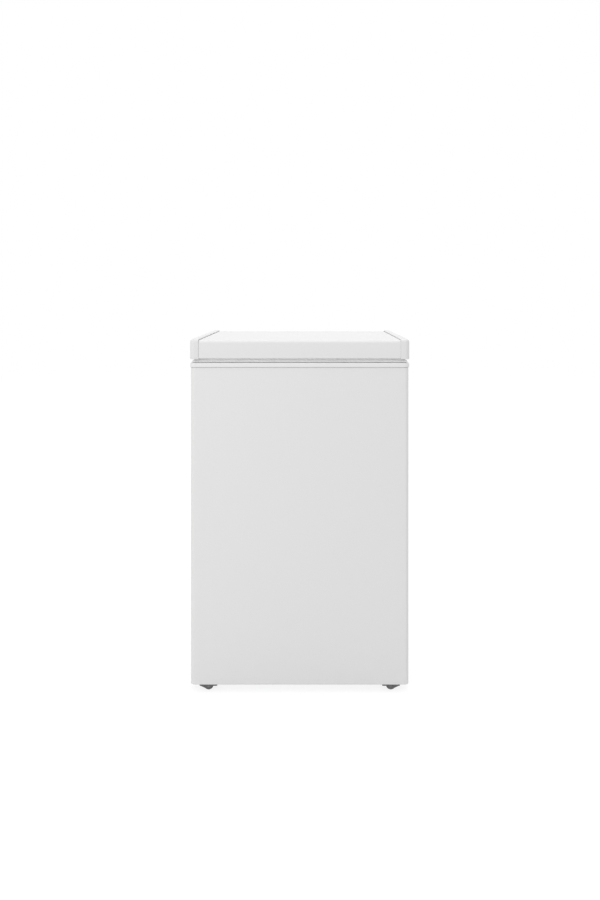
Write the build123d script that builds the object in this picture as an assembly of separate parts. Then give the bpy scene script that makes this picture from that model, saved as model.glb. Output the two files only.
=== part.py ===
"""A small white chest freezer on four rollers, taken apart into the pieces that it is built from.

Millimetres. +X is to the right seen from the front, +Y to the back and +Z up. The origin is on the floor,
under the middle of the outline. A foamed steel cabinet holds a coated tub with a step over the machine
compartment. The foamed lid turns on two spring-balanced hinges at the back. Compressor, drier and thermostat
sit behind a grille at the back.
"""

from build123d import *
import math
import os

# ---------------------------------------------------------------- driving dimensions
body_width = 538.0  # over the painted steel wrapper
body_depth = 542.0  # wrapper front to rear panel
cabinet_height = 793.5  # underside of the cabinet to the top of its frame
lid_height = 48.0
gasket_gap = 10.5  # between the frame's top and the lid's underside
frame_overhang = 2.0  # the frame stands this proud of the wrapper at the front and sides
hinge_depth = 28.0  # the hinges stand this far out behind the rear panel

wheel_radius = 12.0
axle_drop = 6.4  # the axle lies this far below the cabinet's underside

sheet = 0.8  # painted and galvanised steel
liner_sheet = 1.0  # coated aluminium tub
seat_gap = 0.3  # between a soft or curved piece and what it bears on
coil_clearance = 1.0  # the foam's recess round the tub is this much deeper than the tubes in it

# Insulation and tub
wall_thickness = 58.0  # wrapper face to tub face
floor_height = 74.0  # cabinet underside to tub floor
tub_corner_radius = 22.0
tub_floor_radius = 8.0
wrapper_corner_radius = 11.0
base_recess = 20.0  # the base pan lies this far above the cabinet's underside

# Machine compartment, at the back under the tub's step
machine_depth = 185.0
machine_height = 219.0  # cabinet underside to the compartment's ceiling
step_insulation = 46.0  # between the compartment and the tub

# Frame round the cabinet's mouth
frame_web = 2.5
frame_lip_height = 11.1
frame_inner_lip_height = 16.0
frame_inner_lip = 2.5
frame_edge_radius = 4.0

# Lid
trim_width = 21.5
trim_wall = 2.5
trim_corner_radius = 11.0
trim_top_radius = 8.0
trim_bottom_radius = 1.8
trim_skirt = 2.0  # the trims' outer wall reaches this far below the steel panel
trim_lip = 4.5  # the trims' foot reaches this far inward of their wall
panel_step = 1.0  # the steel panel lies this far inside the trims' front and back faces
panel_drop = 3.0  # and this far below their top
panel_top_radius = 8.0
panel_bottom_radius = 2.0
panel_hem = 6.0  # the panel's fold under the lid
lid_rear_overhang = 2.0  # the lid's trims reach this far behind the rear panel
lid_liner_sheet = 1.5
plug_depth = 6.0  # the lid liner's raised middle reaches this far down
plug_inset = 82.0  # from the lid's edge to that middle
plug_edge_radius = 5.0

# Gasket
gasket_inset = 10.0  # from the lid's edge to the gasket
gasket_width = 12.0
gasket_root_width = 4.0
gasket_root_height = 6.0
magnet_width = 8.0
magnet_height = 3.0
gasket_skin = 1.0
gasket_corner_radius = 9.0

# Hinges
hinge_inset = 78.0  # cabinet's side to the middle of each hinge
hinge_axis_back = 15.0  # rear panel to the pin's axis
hinge_axis_above_frame = 1.5
hinge_plate = 1.5
hinge_knuckle_radius = 8.0
hinge_pin_radius = 3.0
pin_head_reach = 2.0  # of the pin's heads beyond its shank
pin_head = 1.4
hinge_running_clearance = 0.06
hinge_channel_half = 17.0
hinge_channel_height = 98.0
hinge_flange_reach = 25.0
hinge_tab = 12.0
channel_screw_inset = 24.0  # channel's ends to its screws
channel_seat_height = 8.0  # of the flanges' roots at the knuckle
leaf_half = 14.0
leaf_plate = 2.0
leaf_lift = 4.0  # lid's underside to the leaf's lower edge
leaf_rise = 36.0  # the leaf's web stands this far up the lid's rear face
leaf_screw_spread = 6.5  # leaf's middle to its screws
leaf_screw_low = 9.0  # leaf's lower edge to its lower and upper screws
leaf_screw_high = 25.0
ear_drop = 6.0  # the leaf's ears end this far below its web
lid_anchor_rise = 32.0  # height of the tapped plate behind it, which ends below the panel's top fold
cam_arm = 7.0
cam_radius = 3.0
cam_rest_angle = 40.0  # below level at rest, and as far above it at 80 degrees of opening
cam_gap = 0.5
cover_wall = 1.8
cover_corner_radius = 4.0
spring_wire_radius = 1.1
spring_coil_radius = 7.0
spring_turns = 9
plunger_half = 9.0  # of the finger, between the leaf's two ears
plunger_finger_height = 9.0
plunger_body_height = 24.0
plunger_stem = 22.0  # the plunger's stem reaches this far down into the spring
plunger_guide_clearance = 0.3
plunger_back_gap = 2.0  # between the plunger and the channel's web
plunger_front_gap = 1.0
plunger_pin_gap = 0.8

# Fasteners
screw_head_radius = 3.6
screw_head_height = 2.2
screw_radius = 2.0
screw_hole_clearance = 0.3
anchor_plate = 2.0
anchor_margin = 4.0  # of the lid's plates beyond the leaves

# Rollers under the cabinet
roller_inset = 43.0  # cabinet's side to the middle of each roller
roller_front_setback = 23.5  # wrapper front to the front axles' middle
roller_rear_setback = 24.0
roller_width = 16.0
roller_side_gap = 0.6
roller_edge_radius = 1.2
hub_rim = 3.0  # the recess round a roller's hub starts this far in from its tread
hub_recess = 1.5
hub_wall = 2.0
axle_radius = 2.5
axle_clearance = 0.06
flange_thickness = 5.0
flange_corner_radius = 3.0
flange_half_x = 22.0
flange_half_y = 15.0
housing_half_x = 15.0
housing_half_y = 12.0
housing_height = 12.0
housing_roof = 1.5
cheek_radius = 9.0
rail_width = 50.0
rail_sheet = 1.5

# Refrigerant tubes
evaporator_radius = 4.0
evaporator_turns = 10
evaporator_above_step = 65.0  # tub's step to the first turn
evaporator_below_mouth = 21.0  # last turn to the tub's mouth
evaporator_end_inset = 60.0  # tub's side to the winding's end
suction_lead_x = 66.0
condenser_radius = 2.5
condenser_lead_inset = 24.0  # rear panel to the middle of the condenser's two leads
condenser_turn_inset = 34.0  # rear panel to the bends at the back
condenser_passes = 7
condenser_above_ceiling = 111.0  # compartment's ceiling to the first pass
condenser_below_mouth = 101.0  # last pass to the tub's mouth
suction_stub_x = 26.0  # compressor's middle to its suction stub
suction_rise = 22.0  # compressor's top to the suction tube's run
suction_fall = 4.0
discharge_stub_x = 22.0  # compressor's middle to its discharge stub
discharge_stub_y = 10.0
discharge_rise = 14.0  # compressor's top to the discharge tube's first bend
discharge_run_rise = 10.0
discharge_run_end_rise = 6.0
discharge_turn_rise = 18.0
discharge_run_inset = 20.0  # rear panel to that run
discharge_side_gap = 30.0  # its end to the condenser's lead
capillary_radius = 1.2
capillary_lead_in = 18.0
capillary_bend = 8.0
capillary_end_bend = 4.0
capillary_lift = 16.0  # compressor's carrier to the capillary's lowest bend
capillary_first_reach = 20.0  # drier to the start of the capillary's run
capillary_first_rise = 4.0
capillary_run_inset = 24.0  # compartment's front wall to that run
capillary_run_rise = 40.0  # lowest bend to the run's end
capillary_back_rise = 84.0  # and to the foot of its upright
capillary_end_drop = 14.0  # upright's top below the evaporator's end
sensor_radius = 1.0
sensor_inset = 34.0  # tub's side to the sensing tube
sensor_bend = 8.0
sensor_first_rise = 22.0  # thermostat to the sensing tube's first bend
sensor_second_rise = 40.0
sensor_reach = 60.0  # above the first turn of the evaporator
tube_below_ceiling = 12.0  # the leads end this far below the compartment's ceiling

# Machine
compressor_x = -80.0
compressor_from_back = 88.0
compressor_half_x = 78.0
compressor_half_y = 60.0
compressor_height = 132.0
compressor_crown = 30.0
weld_flange_reach = 4.0  # of the welded flange round the compressor
weld_flange = 5.0
weld_flange_lift = 72.6
carrier_sheet = 1.5
carrier_half_y = 60.0
carrier_edge = 12.0  # depth of the carrier's turned-down edges
carrier_edge_gap = 2.0  # between those edges and the rails
grommet_height = 12.0
grommet_radius = 10.0
grommet_inset_x = 2.0  # foot plate's edge to the grommets' edge
grommet_inset_y = 1.0
grommet_groove_drop = 8.0  # foot plate down to the groove's lower side
grommet_groove = 3.0
grommet_groove_depth = 2.0
grommet_wall = 2.0  # of a grommet's neck round its bolt
grommet_lip = 0.5
foot_plate = 2.5
foot_half_x = 88.0
foot_half_y = 46.0
bolt_radius = 4.0
bolt_head_radius = 7.0
bolt_head = 4.0
bolt_nut = 5.0
bolt_washer = 1.0
bolt_washer_reach = 4.0
bolt_stand = 9.0  # foot plate to the bolt's end
relay_corner_radius = 5.0
relay_depth = 34.0
relay_half_y = 26.0
relay_height = 50.0
relay_lift = 14.0  # above the compressor's foot plate
drier_radius = 9.0
drier_length = 78.0
drier_inset = 40.0  # cabinet's side and rear panel to the drier's middle
drier_lift = 20.0  # compressor's foot plate to the drier's lower end
drier_neck_rise = 14.0  # drier to the bends above it
drier_turn_rise = 22.0

# Rear grille and what it carries
grille_margin = 6.0  # grille edge to the wrapper's inside
grille_screw_inset = 12.0
grille_corner_radius = 8.0
grille_return = 6.0  # depth of its turned-in upper edge
bracket_reach = 8.0  # the angle strips reach this far past the screws
bracket_depth = 14.0
slot_length = 56.0
slot_height = 6.0
slot_pitch_z = 14.0
slot_columns = 4
slot_rows = 7
slot_column_gap = 14.0
knob_inset = 63.0  # cabinet's right side to the knob's middle
knob_height = 100.0  # cabinet underside to the knob's middle
knob_radius = 19.0
knob_depth = 14.0
knob_skirt = 3.0
knob_skirt_radius = 1.0
knob_cap = 3.0
knob_cap_radius = 13.5
knob_bar_half = 4.0
knob_bar_inset = 0.4  # the bar's ends lie this far inside the cap's rim
knob_face = 3.0  # thickness over the spindle's end
shaft_radius = 3.0
shaft_clearance = 0.08
shaft_depth = 11.0  # of the spindle in the thermostat
shaft_bore_depth = 12.0
bush_wall = 2.0
bush_reach = 1.2  # the bush stands this far out of the grille
thermostat_half = 17.0
thermostat_half_height = 13.5
thermostat_depth = 30.0
terminal_half = 10.0
terminal_half_height = 4.0
terminal_depth = 8.0
gland_inset = 53.0  # cabinet's left side to the gland's middle
gland_height = 48.0
gland_bore_radius = 3.8
gland_radius = 7.0
gland_collar_radius = 10.0
gland_collar = 3.0
gland_shoulder = 1.0  # of the sleeve behind the grille
gland_length = 14.0

# Drain
drain_x = 0.0
drain_y_from_front = 130.0
drain_bore_radius = 9.0
drain_wall = 2.0
drain_spout = 8.0  # below the base pan
drain_flange_radius = 18.0
drain_flange = 1.5
drain_cap_wall = 1.5
drain_cap_height = 7.0
drain_cap_clearance = 0.05
plug_clearance = 0.08
plug_stem = 14.0  # depth of the plug's stem in the drain
plug_cap = 3.0
plug_cap_reach = 3.0
plug_tab_half = 9.0
plug_tab_half_thickness = 1.6
plug_tab_height = 14.0
plug_tab_radius = 5.0

# Basket
basket_wire = 2.0  # radius of the mesh wires
basket_rim_wire = 2.6
basket_depth_y = 190.0
basket_height = 175.0
basket_side_gap = 12.0  # basket rim to the tub's mouth, each side
basket_front_gap = 14.0
basket_drop = 24.0  # frame top to the basket's rim
basket_cross_wires = 5
basket_long_wires = 9
basket_rings = 3
basket_corner_radius = 16.0
basket_taper = 8.0  # the basket's foot lies this far inside its rim
basket_weld = 0.5  # depth to which crossing wires are welded into each other
basket_bend = 12.0
hook_reach = 15.0  # the hooks reach this far over the frame
hook_inset = 30.0  # from the basket's end to each hook
hook_bend = 7.0
hook_bar_reach = 8.0  # the bar that joins two hooks reaches this far past them

# ---------------------------------------------------------------- places that follow from them
cabinet_bottom = wheel_radius + axle_drop
frame_top = cabinet_bottom + cabinet_height
lid_bottom = frame_top + gasket_gap
lid_top = lid_bottom + lid_height

overall_depth = frame_overhang + body_depth + hinge_depth
front_y = -overall_depth / 2
rear_y = overall_depth / 2
body_front = front_y + frame_overhang
body_back = body_front + body_depth
body_half = body_width / 2
frame_half = body_half + frame_overhang

tub_half = body_half - wall_thickness
tub_front = body_front + wall_thickness
tub_back = body_back - wall_thickness
tub_floor = cabinet_bottom + floor_height
tub_top = frame_top - frame_web
machine_front = body_back - machine_depth
machine_top = cabinet_bottom + machine_height
step_front = machine_front - step_insulation
step_top = machine_top + step_insulation
base_z = cabinet_bottom + base_recess

lid_front = front_y
lid_back = body_back + lid_rear_overhang
panel_back = lid_back - panel_step

axis_y = body_back + hinge_axis_back
axis_z = frame_top + hinge_axis_above_frame
hinge_spread = body_half - hinge_inset
roller_spread = body_half - roller_inset
knob_x = body_half - knob_inset
gland_x = -body_half + gland_inset
drier_x = -body_half + drier_inset
drier_y = body_back - drier_inset
evaporator_end_x = tub_half - evaporator_end_inset
sensor_x = tub_half - sensor_inset

evaporator_bottom = step_top + evaporator_above_step
evaporator_top = tub_top - evaporator_below_mouth
evaporator_pitch = (evaporator_top - evaporator_bottom) / evaporator_turns
condenser_bottom = machine_top + condenser_above_ceiling
condenser_top = tub_top - condenser_below_mouth
condenser_pitch = (condenser_top - condenser_bottom) / (condenser_passes - 1)


# ---------------------------------------------------------------- small helpers
def block(x0, x1, y0, y1, z0, z1):
    """A box between two corners."""
    centre = Pos((x0 + x1) / 2, (y0 + y1) / 2, (z0 + z1) / 2)
    return centre * Box(x1 - x0, y1 - y0, z1 - z0)


def rounded_block(x0, x1, y0, y1, z0, z1, radius):
    """A box whose four upright edges are rounded."""
    outline = Pos((x0 + x1) / 2, (y0 + y1) / 2, z0) * RectangleRounded(x1 - x0, y1 - y0, radius)
    return extrude(outline, z1 - z0)


def front_rounded_block(half, y0, y1, z0, z1, radius):
    """A box whose two front upright edges are rounded."""
    plain = block(-half, half, y0, y1, z0, z1)
    front_edges = plain.edges().filter_by(Axis.Z).group_by(Axis.Y)[0]
    return fillet(front_edges, radius)


def cylinder_x(radius, x0, x1, y, z):
    """A round bar along X."""
    return Pos((x0 + x1) / 2, y, z) * Rot(0, 90, 0) * Cylinder(radius, x1 - x0)


def cylinder_y(radius, x, y0, y1, z):
    """A round bar along Y."""
    return Pos(x, (y0 + y1) / 2, z) * Rot(90, 0, 0) * Cylinder(radius, y1 - y0)


def cylinder_z(radius, x, y, z0, z1):
    """A round bar along Z."""
    return Pos(x, y, (z0 + z1) / 2) * Cylinder(radius, z1 - z0)


def tube_along(points, radius, bend):
    """A round bar along straight runs joined by bends; bend is one radius or one for each corner."""
    radii = bend if isinstance(bend, list) else [bend] * (len(points) - 2)
    path = FilletPolyline(*points, radius=radii)
    start = Vector(*points[0])
    heading = Vector(*points[1]) - start
    return sweep(Plane(origin=start, z_dir=heading) * Circle(radius), path=path)


def screw(x, y, z, grip):
    """A pan-head screw driven along -Y: its head stands behind y, and its shank ends grip in front of it."""
    head = cylinder_y(screw_head_radius, x, y, y + screw_head_height, z)
    head = fillet(head.edges().group_by(Axis.Y)[-1], screw_head_height / 3)
    recess = cylinder_y(screw_radius * 0.6, x, y + screw_head_height / 2, y + screw_head_height, z)
    return head + cylinder_y(screw_radius, x, y - grip, y, z) - recess


def write(name, shape):
    """Writes one sub-part."""
    shape.label = name
    export_step(shape, f"parts/{name}.step")


# ---------------------------------------------------------------- cabinet shell
roller_y_front = body_front + roller_front_setback
roller_y_rear = body_back - roller_rear_setback
roller_places = [
    (-roller_spread, roller_y_front),
    (roller_spread, roller_y_front),
    (-roller_spread, roller_y_rear),
    (roller_spread, roller_y_rear),
]
wrapper_foot = roller_front_setback - flange_half_y - 0.5  # width of the wrapper's fold under the cabinet
inside_half = body_half - sheet
inside_front = body_front + sheet
inside_back = body_back - sheet


def cabinet_wrapper():
    """One painted sheet bent round the left, front and right, with a fold under its lower edge."""
    outer = front_rounded_block(
        body_half, body_front, body_back, cabinet_bottom, tub_top, wrapper_corner_radius
    )
    inner = front_rounded_block(
        inside_half,
        inside_front,
        body_back + 1,
        cabinet_bottom - 1,
        tub_top + 1,
        wrapper_corner_radius - sheet,
    )
    fold = front_rounded_block(
        inside_half,
        inside_front,
        body_back,
        cabinet_bottom,
        cabinet_bottom + sheet,
        wrapper_corner_radius - sheet,
    )
    clear = block(
        -body_half + wrapper_foot,
        body_half - wrapper_foot,
        body_front + wrapper_foot,
        body_back + 1,
        cabinet_bottom - 1,
        cabinet_bottom + 1,
    )
    return outer - inner + (fold - clear)


# Screws of the hinge channels: two each side of each channel.
tab_screw_x = hinge_channel_half + hinge_tab / 2
channel_bottom = frame_top - frame_lip_height - hinge_channel_height
channel_screw_heights = (
    channel_bottom + channel_screw_inset,
    channel_bottom + hinge_channel_height - channel_screw_inset,
)


def channel_screw_places():
    """Middle of each screw that holds a hinge channel, as (x, z)."""
    return [
        (side * hinge_spread + offset, z)
        for side in (-1, 1)
        for offset in (-tab_screw_x, tab_screw_x)
        for z in channel_screw_heights
    ]


def rear_panel():
    """Flat galvanised sheet that closes the back above the machine compartment, drilled for the hinges."""
    panel = block(-inside_half, inside_half, inside_back, body_back, machine_top, tub_top)
    for x, z in channel_screw_places():
        panel -= cylinder_y(screw_radius + screw_hole_clearance, x, inside_back - 1, body_back + 1, z)
    return panel


def drain_place():
    """Middle of the drain, as (x, y)."""
    return drain_x, body_front + drain_y_from_front


evaporator_y = tub_back + liner_sheet + seat_gap + evaporator_radius
capillary_y = evaporator_y + evaporator_radius + seat_gap + capillary_radius
capillary_x = evaporator_end_x - capillary_lead_in
sensor_y = capillary_y
condenser_side = inside_half - seat_gap - condenser_radius
condenser_front = inside_front + seat_gap + condenser_radius
lead_y = body_back - condenser_lead_inset


def lead_holes(z0, z1):
    """Three round holes and two side notches for the tubes that pass up out of the machine compartment."""
    notch = condenser_radius + seat_gap
    inner = condenser_side - notch
    return (
        cylinder_z(evaporator_radius + seat_gap, suction_lead_x, evaporator_y, z0, z1)
        + cylinder_z(capillary_radius + seat_gap, capillary_x, capillary_y, z0, z1)
        + cylinder_z(sensor_radius + seat_gap, sensor_x, sensor_y, z0, z1)
        + block(inner, inside_half + 1, lead_y - notch, lead_y + notch, z0, z1)
        + block(-inside_half - 1, -inner, lead_y - notch, lead_y + notch, z0, z1)
    )


def base_pan():
    """One bent sheet: floor under the foam, front wall and ceiling of the machine compartment."""
    floor = front_rounded_block(
        inside_half, inside_front, machine_front, base_z, base_z + sheet, wrapper_corner_radius - sheet
    )
    riser = block(
        -inside_half, inside_half, machine_front - sheet, machine_front, base_z, machine_top + sheet
    )
    ceiling = block(
        -inside_half, inside_half, machine_front - sheet, inside_back, machine_top, machine_top + sheet
    )
    x, y = drain_place()
    pan = floor + riser + ceiling
    pan -= cylinder_z(drain_bore_radius + drain_wall, x, y, base_z - 1, base_z + sheet + 1)
    return pan - lead_holes(machine_top - 1, machine_top + sheet + 1)


def base_rail(side):
    """Steel channel along one side of the base, with a square hole for each roller housing."""
    x = side * roller_spread
    half = rail_width / 2
    bottom = cabinet_bottom + sheet
    rail = block(x - half, x + half, inside_front, inside_back, bottom, base_z)
    half -= rail_sheet
    rail -= block(x - half, x + half, inside_front - 1, body_back, bottom + rail_sheet, base_z + 1)
    x0, x1 = x - housing_half_x, x + housing_half_x
    for _, y in roller_places[::2]:
        rail -= block(x0, x1, y - housing_half_y, y + housing_half_y, bottom - 1, bottom + 2 * rail_sheet)
    return rail


# ---------------------------------------------------------------- tub, insulation and frame
def tub_volume(grow, top, floor_radius):
    """The tub's inside, grown by a distance on every side but the top."""
    radius = tub_corner_radius + grow
    half, front = tub_half + grow, tub_front - grow
    low = rounded_block(-half, half, front, step_front + grow, tub_floor - grow, top, radius)
    high = rounded_block(-half, half, front, tub_back + grow, step_top - grow, top, radius)
    low = fillet(low.edges().group_by(Axis.Z)[0], floor_radius)
    return low + high


def inner_liner():
    """The coated tub, with its step over the machine compartment and a flange that lies on the foam."""
    shell = tub_volume(liner_sheet, tub_top, tub_floor_radius + liner_sheet)
    flange = front_rounded_block(
        inside_half, inside_front, inside_back, tub_top - liner_sheet, tub_top, wrapper_corner_radius - sheet
    )
    x, y = drain_place()
    hole = cylinder_z(drain_bore_radius + drain_wall, x, y, tub_floor - 2 * liner_sheet, tub_floor + 1)
    return shell + flange - tub_volume(0, tub_top + 1, tub_floor_radius) - hole


coil_band = 2 * evaporator_radius + seat_gap + 2 * capillary_radius + 2 * seat_gap + coil_clearance
condenser_band = 2 * condenser_radius + 2 * seat_gap


def cabinet_foam():
    """Rigid foam between wrapper and tub, recessed for the tubes on the tub and inside the wrapper."""
    top = tub_top - liner_sheet
    foam = front_rounded_block(
        inside_half, inside_front, inside_back, base_z + sheet, top, wrapper_corner_radius - sheet
    )
    foam -= tub_volume(liner_sheet, top + 1, tub_floor_radius + liner_sheet)
    foam -= block(
        -body_half, body_half, machine_front - sheet, body_back, cabinet_bottom, machine_top + sheet
    )
    # recess for the evaporator, round the tub
    foam -= rounded_block(
        -tub_half - liner_sheet - coil_band,
        tub_half + liner_sheet + coil_band,
        tub_front - liner_sheet - coil_band,
        tub_back + liner_sheet + coil_band,
        evaporator_bottom - 4 * evaporator_radius,
        evaporator_top + 3 * evaporator_radius,
        tub_corner_radius + liner_sheet + coil_band,
    )
    # recess for the condenser, inside the wrapper's two sides and front
    condenser_z0 = machine_top + sheet
    condenser_z1 = condenser_top + 4 * condenser_radius
    band = front_rounded_block(
        body_half, body_front - 1, body_back + 1, condenser_z0, condenser_z1, wrapper_corner_radius - sheet
    )
    core = front_rounded_block(
        inside_half - condenser_band,
        inside_front + condenser_band,
        body_back + 2,
        condenser_z0 - 1,
        condenser_z1 + 1,
        wrapper_corner_radius - sheet,
    )
    foam -= band - core
    foam -= lead_holes(machine_top, evaporator_bottom)
    # the suction lead rises against the back of the tub, in a slot that is open to it
    slot = evaporator_radius + seat_gap
    x0, x1 = suction_lead_x - slot, suction_lead_x + slot
    foam -= block(x0, x1, tub_back, evaporator_y, step_top - liner_sheet, evaporator_bottom)
    x, y = drain_place()
    foam -= cylinder_z(drain_bore_radius + drain_wall, x, y, cabinet_bottom, tub_floor)
    for side in (-1, 1):
        foam -= anchor_block(side)
    return foam_blocks(foam)


def foam_blocks(foam):
    """The foam in plain blocks: floor, machine roof, and walls that meet at the tub's round corners."""
    corner_x = tub_half - tub_corner_radius
    xs = [-body_half, -corner_x, corner_x, body_half]
    low_ys = [
        body_front, tub_front + tub_corner_radius, step_front - tub_corner_radius, machine_front - sheet
    ]
    high_ys = [body_front, tub_front + tub_corner_radius, tub_back - tub_corner_radius, body_back]
    floor_top = tub_floor - liner_sheet
    edge_top = tub_floor + tub_floor_radius
    step_seam = step_top - liner_sheet
    blocks = [
        foam & block(-body_half, body_half, body_front, machine_front - sheet, base_z, floor_top),
        foam & block(-body_half, body_half, machine_front - sheet, body_back, machine_top, step_seam),
    ]
    bands = [(floor_top, edge_top, low_ys), (edge_top, step_seam, low_ys), (step_seam, tub_top, high_ys)]
    for z0, z1, ys in bands:
        for x0, x1 in zip(xs, xs[1:]):
            for y0, y1 in zip(ys, ys[1:]):
                if (x0, y0) != (xs[1], ys[1]):
                    blocks.append(foam & block(x0, x1, y0, y1, z0, z1))
    return Compound([solid for piece in blocks for solid in piece.solids()])


def anchor_block(side):
    """Room for the steel plate behind the rear panel that takes one hinge channel's screws."""
    x = side * hinge_spread
    half = hinge_channel_half + hinge_tab
    top = channel_bottom + hinge_channel_height
    return block(x - half, x + half, inside_back - anchor_plate, inside_back, channel_bottom, top)


def cabinet_anchor_plates():
    """Two steel plates foamed in behind the rear panel, tapped for the hinge screws."""
    plates = anchor_block(-1) + anchor_block(1)
    for x, z in channel_screw_places():
        plates -= cylinder_y(screw_radius, x, inside_back - 2 * anchor_plate, inside_back + 1, z)
    return plates


def top_frame():
    """Frame round the mouth: lip over the wrapper, flat web under the gasket, lip into the tub."""
    mouth_half = tub_half - frame_inner_lip
    mouth_front = tub_front + frame_inner_lip
    mouth_back = tub_back - frame_inner_lip
    mouth_radius = tub_corner_radius - frame_inner_lip
    corner = wrapper_corner_radius + frame_overhang
    lip_bottom = frame_top - frame_lip_height
    outer = front_rounded_block(frame_half, front_y, body_back, lip_bottom, frame_top, corner)
    rim = outer.faces().sort_by(Axis.Z)[-1].edges().filter_by(lambda e: e.center().Y < body_back - 1)
    outer = fillet(rim, frame_edge_radius)
    rim = outer.faces().sort_by(Axis.Z)[0].edges().filter_by(lambda e: e.center().Y < body_back - 1)
    outer = fillet(rim, frame_overhang * 0.6)
    inside = front_rounded_block(
        body_half, body_front, body_back + 1, lip_bottom - 1, tub_top, wrapper_corner_radius
    )
    lip = rounded_block(
        -tub_half,
        tub_half,
        tub_front,
        tub_back,
        frame_top - frame_inner_lip_height,
        tub_top,
        tub_corner_radius,
    )
    z0, z1 = frame_top - 2 * frame_inner_lip_height, frame_top + 1
    mouth = rounded_block(-mouth_half, mouth_half, mouth_front, mouth_back, z0, z1, mouth_radius)
    return outer - inside + lip - mouth


# ---------------------------------------------------------------- refrigerant tubes in the foam
def evaporator_tube():
    """Tube wound round the tub from the suction lead at the bottom to the capillary's end at the top."""
    bend = tub_corner_radius + liner_sheet + seat_gap + evaporator_radius
    reach = liner_sheet + seat_gap + evaporator_radius
    side = tub_half + reach
    front = tub_front - reach
    quarter = evaporator_pitch / 4
    lead_end = machine_top - tube_below_ceiling
    z = evaporator_bottom
    points = [(suction_lead_x, evaporator_y, lead_end), (suction_lead_x, evaporator_y, z)]
    radii = [evaporator_radius * 3]
    corners = [(-side, evaporator_y), (-side, front), (side, front), (side, evaporator_y)]
    for turn in range(evaporator_turns):
        for number, (x, y) in enumerate(corners):
            points.append((x, y, z + turn * evaporator_pitch + number * quarter))
            radii.append(bend)
    points.append((evaporator_end_x, evaporator_y, points[-1][2]))
    return tube_along(points, evaporator_radius, radii)


def evaporator_end():
    """Where the evaporator's top end lies."""
    quarter = evaporator_pitch / 4
    z = evaporator_bottom + (evaporator_turns - 1) * evaporator_pitch + 3 * quarter
    return evaporator_end_x, evaporator_y, z


def condenser_tube():
    """Tube laid in passes inside the wrapper, from the discharge lead to the liquid lead."""
    bend = condenser_radius * 4
    turn_back = body_back - condenser_turn_inset
    lead_end = machine_top - tube_below_ceiling
    points = [(condenser_side, lead_y, lead_end), (condenser_side, lead_y, condenser_bottom)]
    side = 1
    for number in range(condenser_passes):
        z = condenser_bottom + number * condenser_pitch
        last = number == condenser_passes - 1
        if number:
            points.append((side * condenser_side, turn_back, z))
        points.append((side * condenser_side, condenser_front, z))
        points.append((-side * condenser_side, condenser_front, z))
        points.append((-side * condenser_side, lead_y if last else turn_back, z))
        side = -side
    points.append((-condenser_side, lead_y, lead_end))
    return tube_along(points, condenser_radius, bend)


# ---------------------------------------------------------------- drain
def drain_tube():
    """Tube through the floor: a thin flange in the tub, and a spout under the base that a cap closes."""
    x, y = drain_place()
    radius = drain_bore_radius + drain_wall
    end = base_z - drain_spout
    tube = cylinder_z(radius, x, y, end, tub_floor)
    tube += cylinder_z(drain_flange_radius, x, y, tub_floor, tub_floor + drain_flange)
    tube -= cylinder_z(drain_bore_radius, x, y, end - 1, tub_floor + drain_flange + 1)
    bottom = end - drain_cap_wall
    inside = radius + drain_cap_clearance
    cap = cylinder_z(inside + drain_cap_wall, x, y, bottom, end + drain_cap_height - drain_cap_wall)
    cap -= cylinder_z(inside, x, y, end, end + drain_cap_height)
    return Compound([tube, cap])


def drain_plug():
    """Rubber plug that closes the drain from inside the tub, with a finger tab on top."""
    x, y = drain_place()
    seat = tub_floor + drain_flange
    stem = cylinder_z(drain_bore_radius - plug_clearance, x, y, seat - plug_stem, seat + seat_gap)
    cap = cylinder_z(drain_bore_radius + plug_cap_reach, x, y, seat + seat_gap, seat + seat_gap + plug_cap)
    half, thin = plug_tab_half, plug_tab_half_thickness
    tab = block(x - half, x + half, y - thin, y + thin, seat + plug_cap, seat + plug_tab_height)
    tab = fillet(tab.edges().filter_by(Axis.Y).group_by(Axis.Z)[-1], plug_tab_radius)
    return stem + cap + tab


# ---------------------------------------------------------------- rollers
def roller_housings():
    """Four moulded housings pressed up into the rails, each with two cheeks that carry an axle."""
    housings = []
    for x, y in roller_places:
        outward = 1 if x > 0 else -1
        top = cabinet_bottom + sheet
        flange = block(
            x - flange_half_x,
            x + flange_half_x,
            y - flange_half_y,
            y + flange_half_y,
            top - flange_thickness,
            top,
        )
        flange = fillet(flange.edges().filter_by(Axis.Z), flange_corner_radius)
        box = block(
            x - housing_half_x,
            x + housing_half_x,
            y - housing_half_y,
            y + housing_half_y,
            top,
            top + housing_height,
        )
        inner = roller_width / 2 + roller_side_gap
        heel = Pos(x, 0, 0) * cheek_outline(outward, top)
        cheeks = Pos(0, y + housing_half_y, 0) * extrude(heel, 2 * housing_half_y)
        reach = wheel_radius + 2 * roller_side_gap
        well = block(x - reach, x + reach, y - inner, y + inner, -1, top + housing_height - housing_roof)
        hole = cylinder_y(axle_radius, x, y - housing_half_y - 1, y + housing_half_y + 1, wheel_radius)
        housings.append(flange + box + cheeks - well - hole)
    return Compound(housings)


def cheek_outline(outward, top):
    """Side plate of a housing: round under the axle, sloping out to the flange's outer end."""
    tip = Pos(0, wheel_radius) * Circle(cheek_radius)
    seat = Pos(outward * (flange_half_x - cheek_radius) / 2, top - flange_thickness + 1) * Rectangle(
        flange_half_x + cheek_radius, 2
    )
    return Plane.XZ * make_hull(tip.edges() + seat.edges())


def roller_axles():
    """Four steel axles held in the housings' cheeks."""
    return Compound(
        [
            cylinder_y(axle_radius, x, y - housing_half_y, y + housing_half_y, wheel_radius)
            for x, y in roller_places
        ]
    )


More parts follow.
